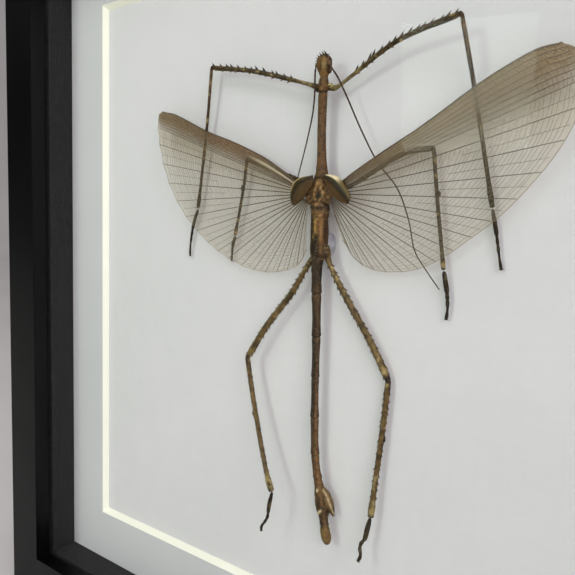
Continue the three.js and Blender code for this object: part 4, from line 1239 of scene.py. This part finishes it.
def leg_thorns(name, thigh, shank, half):
    """The thorns of one leg, in the places where each pair of legs carries them."""
    kind, side = name.split("_")
    dark = NEAR_BLACK
    rows = []

    def both_edges(*limbs):
        """Each limb is its route, its half width, a tone, a seed, and the rest of what row_of takes."""
        for edge in (-1, 1):
            for route, wide, tone, seed, *row in limbs:
                rows.extend(thorn_row(route, edge, *row_of(*row, seed + edge), wide, tone, dark))

    if kind == "fore":
        count = 15 if side == "right" else 13
        shares, lengths = row_of(0.25, 0.975, count, 1.0, 1.9, 40)
        # The upper edge carries the larger thorns.
        rows += thorn_row(thigh, upper_edge(thigh), shares, lengths, half[0], colour("2e2216"), dark)
        near_only = row_of(0.24, 0.52, 5, 0.7, 1.1, 41)
        lower = near_only if side == "right" else row_of(0.26, 0.95, 11, 0.6, 1.1, 42)
        rows += thorn_row(thigh, -upper_edge(thigh), *lower, half[0], colour("7c6a45"), colour("4a3722"))
        both_edges((shank, half[1], BARK, 43, 0.08, 0.93, 16, 0.16, 0.3))
    elif kind == "middle":
        both_edges((thigh, half[0], colour("5a452b"), 50, 0.3, 0.95, 9, 0.5, 0.8),
                   (shank, half[1], BARK, 53, 0.1, 0.92, 9, 0.15, 0.3))
    else:
        both_edges((thigh, half[0], BARK, 60, 0.14, 0.96, 18, 0.85, 1.2),
                   (shank, half[1], BARK, 63, 0.08, 0.9, 17, 0.65, 0.95))
    return rows


def upper_edge(route):
    """Which edge of a limb faces up: 1 or -1."""
    return 1 if across_of(route.along(0.5))[2] > 0 else -1


def shank_lobe(route, side, share, half):
    """A small dark leaf on the outer edge of a shank."""
    across = across_of(route.along(share)) * (-side)
    centre = route.at(share) + across * half
    return ball(centre, (0.52, 0.45, 0.95), colour("2e2216"), 8, 12)


def claws(route):
    """The two hooked claws of a foot."""
    end, ahead = route.at(0.96), route.along(1.0)
    across = across_of(ahead)
    pieces = []
    for side in (-1, 1):
        curl = np.array([0, 0.35, 0]) + ahead * 0.1
        foot, way = end + across * side * 0.12, ahead + across * side * 0.85
        pieces.append(thorn(foot, way, 0.95, 0.17, colour("2a1d14"), colour("120c08"), curl=curl, sides=7))
    return pieces


def reached(places, onward):
    """A limb's middle line, carried on a little into the next joint."""
    return places[:-1] + [tuple((3 * a + 2 * b) / 5 for a, b in zip(places[-1], onward[0]))]


FOOT_COLOURS = [(0, NEAR_BLACK), (0.3, colour("2e2619")), (0.5, colour("1e1710")), (1, colour("2a2218"))]


def legs_shapes():
    """The thighs, shanks, feet and thorns of all legs, each kind as one shape, and the claws as another."""
    layers = {"thighs": [], "shanks": [], "feet": [], "thorns": []}
    claw_list = []
    for k, (name, leg) in enumerate(LEGS.items()):
        kind, side = name.split("_")
        half = leg["half"]
        femur, tibia = reached(leg["femur"], leg["tibia"]), reached(leg["tibia"], leg["tarsus"])
        tibia = [tuple((a + b) / 2 for a, b in zip(tibia[0], leg["femur"][-1]))] + tibia[1:]
        knobbed = [(0, leg["knob"]), (0.05, leg["knob"] * 1.07)] + THIGH_SHAPE
        thigh, thigh_shape = limb_shape(femur, knobbed, half[0], 18, THIGH_COLOURS_AND_WING_SHADE[kind], 100 + k, 0.9)
        shank, shank_shape = limb_shape(tibia, SHANK_SHAPE, half[1], 16, SHANK_COLOURS_AND_WING_SHADE[kind], 120 + k, 0.8)
        sole = HIND_FOOT_SHAPE if kind == "hind" else FOOT_SHAPE
        foot, foot_shape = limb_shape(leg["tarsus"], sole, half[2], 14, FOOT_COLOURS, 140 + k, 0.25, 3)
        thorns = leg_thorns(name, thigh, shank, half)
        if kind != "fore":
            share = 0.42 if kind == "hind" else 0.38
            thorns.append(shank_lobe(shank, 1 if side == "right" else -1, share, half[1]))
        layers["thighs"].append(thigh_shape)
        layers["shanks"].append(shank_shape)
        layers["feet"].append(foot_shape)
        layers["thorns"] += thorns
        claw_list += claws(foot)
    return {key: merged(value) for key, value in layers.items()}, merged(claw_list)


# The solids that the one skin stands for.
FLESH = (
    ["head", "prothorax", "mesothorax", "metathorax", "abdomen_8_9", "abdomen_end"]
    + [f"abdomen_{k}" for k in range(2, 8)]
    + [f"{part}_{name}" for name in LEGS for part in ("femur", "tibia", "tarsus")]
)


def add_skin():
    """One closed skin over the head, trunk and legs, so that no gap shows between them."""
    legs, claw_shape = legs_shapes()
    first, second = head_extras()
    ends_and_lumps = merged([head_shape(), tail_plate_shape()] + trunk_lumps())
    parts = [trunk_shape(), ends_and_lumps, merged(first), merged(second)]
    parts += [legs["thighs"], legs["shanks"], legs["feet"], legs["thorns"]]
    material = cuticle_finish("cuticle_dry", 0.5, 950.0, 2400.0, 0.75, 0.25, 0.00018)
    add_piece("skin", united(parts), material, FLESH)
    horn = cuticle_finish("claw_horn", 0.35, 900.0, 3000.0, 0.3, 0.1, 0.00003)
    add_piece("claws", claw_shape, horn)


# ---- Wings ----


def wing_height(share, front, rear):
    lift = front * np.sin(share * math.pi * 0.6) * 0.9
    return WING_HEIGHT + lift - WING_DROOP * share ** 2 * np.minimum(1, 0.35 + rear)


def wing_spot(wing, angle, radius):
    a = np.radians(angle)
    return wing["hinge"][0] + wing["side"] * radius * np.cos(a), wing["hinge"][1] + radius * np.sin(a)


def fan_lines(wing):
    """The angles of the fan's fold lines: its front edge, each main vein, and its rear edge."""
    return [FAN_START] + list(wing["veins"]) + [wing["outline"][-1][0]]


def fan_surface(wing):
    lines = fan_lines(wing)

    def surface(turn, share):
        """turn counts fold lines: whole numbers are veins, and halves lie midway between two."""
        angle = np.interp(turn, range(len(lines)), lines)
        reach = smooth_read(wing["outline"], angle)
        scallop = 0.12 * np.sin(math.pi * turn) ** 2
        radius = FAN_ROOT + (reach - scallop - FAN_ROOT) * share
        fold = 1 - 2 * np.abs((turn % 1) * 2 - 1)
        rear = np.clip((FAN_START - angle) / 50, 0, 1)
        x, z = wing_spot(wing, angle, radius)
        height = wing_height(share, 0, rear) - PLEAT * fold * share
        crinkle = 0.05 * ripple(np.stack([x, height * 0, z], -1).reshape(-1, 3), 3.5, 71).reshape(x.shape)
        return x, height + crinkle * share, z

    return surface


def strip_surface(wing):
    def surface(turn, share):
        """turn runs from the leading edge to the first fold of the fan."""
        edge = wing["outline"][0][0]
        reach = smooth_read(wing["outline"], edge + (FAN_START - edge) * turn)
        radius = FAN_ROOT + (reach - FAN_ROOT) * share
        lead = smooth_read(wing["leading"], radius)
        x, z = wing_spot(wing, lead + (FAN_START - lead) * turn, radius)
        fold = 0.07 * np.cos(turn * STRIP_VEINS * 2 * math.pi)
        return x, wing_height(radius / reach, 1 - turn, 0) + fold * share, z

    return surface


def vein(surface, turn, start, end, thick, thin, tone, steps=40):
    """A vein that stands proud of both faces of the wing, along a line of constant turn."""
    share = np.linspace(start, end, steps)
    x, height, z = surface(np.full(steps, float(turn)), share)
    line = np.stack([x, BACKING_FRONT - height, z], -1)
    radius = np.linspace(thick, thin, steps)
    return line_tube(line, radius, VEIN_SIDES, tone)


def line_tube(line, radius, sides, tone):
    """A thin closed tube along points."""
    along = np.gradient(line, axis=0)
    along /= np.linalg.norm(along, axis=1, keepdims=True)
    across = across_of(along)
    out = np.cross(along, across)
    angle = np.arange(sides) * 2 * math.pi / sides
    ring = across[:, None] * np.cos(angle)[None, :, None] + out[:, None] * np.sin(angle)[None, :, None]
    points = (line[:, None] + ring * np.broadcast_to(radius, len(line))[:, None, None]).reshape(-1, 3)
    points = np.vstack([points, line[0], line[-1]])
    return turned_out(Shape(points, tube_faces(len(line), sides), tone))


def cross_veins(surface, turns, start, end, spacing, length, radius, tone, seed):
    """Many short bars between neighbouring veins, like the rungs of a ladder."""
    rng = np.random.default_rng(seed)
    bars = []
    for low, high in zip(turns, turns[1:]):
        count = int((end - start) * length / spacing)
        for share in np.linspace(start, end, count):
            share = share + rng.uniform(-0.25, 0.25) * spacing / length
            turn = np.linspace(low, high, 3)
            x, height, z = surface(turn, np.full(3, share))
            line = np.stack([x, BACKING_FRONT - height, z], -1)
            bars.append(line_tube(line, radius, 3, tone))
    return bars


def fan_paint(turn, share):
    base = np.broadcast_to(MEMBRANE_TINT, turn.shape + (3,))
    base = tint(base, colour("ebe0bc"), fade(2, 7, turn) * 0.6)
    return tint(base, colour("846a43"), (1 - fade(0.0, 2.0, turn)) * 0.5 + (1 - fade(0.05, 0.2, share)) * 0.4)


def fan_cover(turn, share):
    front = 0.13 * (1 - fade(0, 2.5, turn))
    return 0.11 + front + 0.1 * (1 - fade(0.08, 0.3, share)) + 0.06 * fade(0.9, 1, share)


STRIP_COLOURS = [
    (0, colour("3f2f1c")), (0.06, colour("785c2e")), (0.35, colour("88693a")), (0.6, colour("866a3c")),
    (1, colour("8a7548")),
]


def lined(base, turn, share):
    """Darker lines along the strip, and a darker root."""
    line = np.sin(turn * 46) * 0.5 + 0.5
    base = tint(base, colour("3a2b18"), line * 0.6 * (1 - 0.6 * fade(0.5, 1, turn)))
    return tint(base, colour("5b452c"), (1 - fade(0.1, 0.35, share)) * 0.6)


def strip_paint(turn, share):
    return lined(shades(STRIP_COLOURS, turn), turn, share)


def left_strip_paint(turn, share):
    """The left strip also has a rusty stretch, and a cream streak near its root."""
    warm = fade(0.25, 0.38, share) * (1 - fade(0.5, 0.68, share)) * (1 - fade(0.2, 0.7, turn))
    base = tint(shades(STRIP_COLOURS, turn), colour("8f5a26"), warm * 0.7)
    across = fade(0.22, 0.32, turn) * (1 - fade(0.42, 0.52, turn))
    streak = fade(0.02, 0.06, share) * (1 - fade(0.24, 0.4, share)) * across
    return tint(lined(base, turn, share), colour("f4e8c4"), streak)


def strip_cover(turn, share):
    edge = 0.25 * (1 - fade(0.0, 0.06, turn))
    body = 0.8 - 0.5 * fade(0.3, 1.0, turn)
    return np.clip(body + edge + 0.12 * (1 - fade(0.1, 0.4, share)), 0, 0.95)


def wing_veins(wing):
    """The main veins, the finer ones midway between them, the rear margin and all the cross bars."""
    lines = fan_lines(wing)
    sectors = len(lines) - 1
    on_fan, on_strip = fan_surface(wing), strip_surface(wing)
    veins = []
    for turn in range(1, sectors):
        veins.append(vein(on_fan, turn, 0.03, 0.995, 0.14, 0.08, VEIN_TINT))
    for turn in range(sectors):
        start = 0.62 - 0.02 * turn
        veins.append(vein(on_fan, turn + 0.5, start, 0.985, 0.055, 0.05, colour("6b5843"), 16))
    for k in range(STRIP_VEINS + 1):
        front = 0.26 if k == 0 else 0.1
        veins.append(vein(on_strip, k / STRIP_VEINS, 0.02, 0.985, front, 0.08, colour("4b3923")))
    margin = np.linspace(0, sectors, sectors * 6)
    x, height, z = on_fan(margin, np.full(len(margin), 0.998))
    veins.append(line_tube(np.stack([x, BACKING_FRONT - height, z], -1), 0.07, 5, colour("8a7a60")))
    reach = np.array([smooth_read(wing["outline"], angle) for angle in lines])
    bar = 0.045
    for turn in range(sectors):
        turns = [turn, turn + 0.5, turn + 1]
        length = reach[turn:turn + 2].mean()
        veins += cross_veins(on_fan, turns, 0.12, 0.97, 1.1, length, bar, colour("75664e"), 200 + turn)
    for k in range(STRIP_VEINS):
        ends = [k / STRIP_VEINS, (k + 1) / STRIP_VEINS]
        veins += cross_veins(on_strip, ends, 0.1, 0.97, 1.0, reach[0], bar, colour("6a5334"), 300 + k)
    return merged(veins)


def add_wing(name, wing, skin_finish, strip_finish, vein_material):
    sectors = len(fan_lines(wing)) - 1
    columns = np.linspace(0, sectors, sectors * 4 + 1)
    fan = plate(columns, np.linspace(0, 1, 46), fan_surface(wing), MEMBRANE, fan_paint, fan_cover)
    add_piece(f"wing_{name}_fan", fan, skin_finish, [f"hindwing_{name}_fan"])
    columns, rows = np.linspace(0, 1, 31), np.linspace(0, 1, 60)
    paint = left_strip_paint if name == "left" else strip_paint
    strip = plate(columns, rows, strip_surface(wing), STRIP, paint, strip_cover)
    add_piece(f"wing_{name}_strip", strip, strip_finish, [f"hindwing_{name}_costal"])
    add_piece(f"wing_{name}_veins", wing_veins(wing), vein_material)


TEGMEN_CREST = 0.62  # where the dark crest runs, from the inner edge to the outer
TEGMEN_COLOURS = [
    (0, colour("4f3b22")), (0.3, colour("64482b")), (0.48, colour("54462b")),
    (TEGMEN_CREST, colour("1c1910")), (0.72, colour("2e2b18")), (0.84, colour("6f6740")),
    (1, colour("6a5a38")),
]


def add_tegmen(name, leaf, material):
    """The short leathery fore wing, with a dark crest along its hump."""
    outer, inner = (Route([(x, TEGMEN_HEIGHT, z) for x, z in leaf[edge]]) for edge in ("outer", "inner"))

    def surface(turn, share):
        near, far = inner.at(share), outer.at(share)
        flat = near + (far - near) * turn[..., None]
        ends = np.sin(math.pi * (0.15 + 0.75 * share))
        hump = smooth_read([(0, 0), (0.6, 0.95), (1, 0.2)], turn) * ends
        arch = np.sin(math.pi * share)
        crest = 0.22 * np.exp(-((turn - TEGMEN_CREST) / 0.09) ** 2) * arch
        rib = 0.05 * np.cos(turn * 44) * arch
        return flat[..., 0], TEGMEN_HEIGHT + 0.25 + hump + 0.5 * arch + crest + rib, flat[..., 2]

    def paint(turn, share):
        base = shades(TEGMEN_COLOURS, turn)
        veiny = np.sin(turn * 44) * np.sin(share * 60 + 3 * turn)
        base = tint(base, colour("2a2012"), fade(0.2, 0.9, veiny) * 0.35)
        if name == "right":
            cream = fade(0.72, 0.84, turn) * (1 - fade(0.32, 0.55, share)) * fade(0.02, 0.1, share)
            base = tint(base, colour("fff8e4"), cream * 0.95)
        else:
            base = tint(base, colour("4a3c24"), (1 - fade(0.5, 0.6, turn)) * 0.6)
            base = tint(base, colour("3a2f1b"), fade(0.66, 0.85, turn) * 0.85)
            rim = fade(0.9, 0.96, turn) * fade(0.02, 0.1, share) * (1 - fade(0.6, 0.85, share))
            base = tint(base, colour("c9b98a"), rim * 0.9)
        ends = (1 - fade(0.0, 0.1, share)) * 0.6 + fade(0.93, 1.0, share) * 0.5
        return tint(base, colour("2a2014"), ends)

    shape = plate(np.linspace(0, 1, 37), np.linspace(0, 1, 40), surface, TEGMEN, paint)
    add_piece(f"forewing_{name}", shape, material, [f"tegmen_{name}"])


def add_wings():
    skin_finish = membrane_finish("wing_membrane", 0.9, 0.34, 900.0, 0.65)
    strip_finish = membrane_finish("wing_front_strip", 0.95, 0.42, 1500.0, 0.35)
    vein_material = vein_finish()
    leather = cuticle_finish("forewing_leather", 0.42, 900.0, 3000.0, 0.35, 0.18, 0.0001)
    for name, wing in WINGS.items():
        add_wing(name, wing, skin_finish, strip_finish, vein_material)
        add_tegmen(name, TEGMINA[name], leather)


def add_glue():
    """A bead of clear glue that has run down a little before it set."""
    centre = spot(*GLUE_SPOT) - np.array([0, 0.05, 0])
    points = []
    rings, sides = 12, 28
    for i in range(rings):
        a = math.pi / 2 * i / rings
        for b in np.arange(sides) * 2 * math.pi / sides:
            wobble = 1 + 0.06 * math.sin(2 * b + 1) + 0.04 * math.sin(3 * b)
            points.append([
                math.cos(a) * math.cos(b) * GLUE_SIZE[0] * wobble, -math.sin(a) * GLUE_SIZE[1],
                math.cos(a) * math.sin(b) * GLUE_SIZE[2] * wobble,
            ])
    points += [[0, 0, 0], [0, -GLUE_SIZE[1], 0]]
    shape = turned_out(Shape(np.array(points) * 0.97 + centre, tube_faces(rings, sides), colour("c9ced6")))
    add_piece("glue_drop", shape, glue_finish(), ["glue_bead"])


# ---- Stage, light and camera ----


def add_stage():
    """A pale floor that curves up behind the frame."""
    front, bend, radius, top, half = -3.0, 1.2, 0.8, 4.0, 4.0
    run = [(front, 0.0), (bend, 0.0)]
    for a in np.linspace(0.15, math.pi / 2, 12):
        run.append((bend + radius * math.sin(a), radius * (1 - math.cos(a))))
    run.append((bend + radius, top))
    points = [(x, y, z) for y, z in run for x in (-half, half)]
    faces = [(2 * i, 2 * i + 1, 2 * i + 3, 2 * i + 2) for i in range(len(run) - 1)]
    mesh = bpy.data.meshes.new("floor")
    mesh.from_pydata(points, [], faces)
    mesh.shade_smooth()
    mesh.materials.append(stage_finish())
    floor = bpy.data.objects.new("floor", mesh)
    bpy.context.scene.collection.objects.link(floor)


def add_light(name, place, aim, size, watts, tone):
    lamp = bpy.data.lights.new(name, "AREA")
    lamp.shape = "SQUARE"
    lamp.size = size
    lamp.energy = watts
    lamp.color = tone
    holder = bpy.data.objects.new(name, lamp)
    holder.location = place
    way = np.array(aim) - np.array(place)
    holder.rotation_euler = (
        math.atan2(math.hypot(way[0], way[1]), -way[2]), 0, math.atan2(way[1], way[0]) - math.pi / 2,
    )
    bpy.context.scene.collection.objects.link(holder)


def add_lights():
    """A window's light from the left, a fill from the right, and a room that is darker on the left."""
    middle = (0, 0, CASE_MIDDLE * MM)
    add_light("window_left", (-0.26, -0.9, 0.42), middle, 0.22, 1.75, (0.86, 1.0, 0.88))
    add_light("sheen_above", (-0.2, -0.6, 0.85), middle, 0.35, 1.2, (1.0, 1.0, 1.0))
    add_light("room_right", (0.8, -0.75, 0.65), middle, 0.8, 6.4, (0.98, 0.89, 1.0))
    world = bpy.data.worlds.new("room")
    world.use_nodes = True
    graph = Graph(world.node_tree)
    sky = world.node_tree.nodes["Background"]
    sky.inputs["Color"].default_value = (0.99, 0.95, 1.0, 1)
    way = graph.add("SeparateXYZ", {"Vector": graph.add("TexCoord").outputs["Generated"]})
    graph.feed(sky.inputs["Strength"], graph.span(way.outputs["X"], -0.8, 0.8, 0.06, 0.82))
    bpy.context.scene.world = world


def add_camera():
    camera = bpy.data.cameras.new("camera")
    camera.sensor_width = 36.0
    camera.lens = CAMERA_LENS
    camera.clip_start = 0.01
    holder = bpy.data.objects.new("camera", camera)
    holder.location = CAMERA_PLACE
    holder.rotation_euler = Euler([math.radians(v) for v in CAMERA_TURN])
    bpy.context.scene.collection.objects.link(holder)
    bpy.context.scene.camera = holder
    bpy.context.scene.view_settings.view_transform = "Standard"


add_camera()
add_lights()
add_stage()
add_case()
add_skin()
add_eyes(eye_finish())
add_antennae(cuticle_finish("feeler_dry", 0.5, 1500.0, 4000.0, 0.3, 0.1, 0.00004))
add_wings()
add_glue()
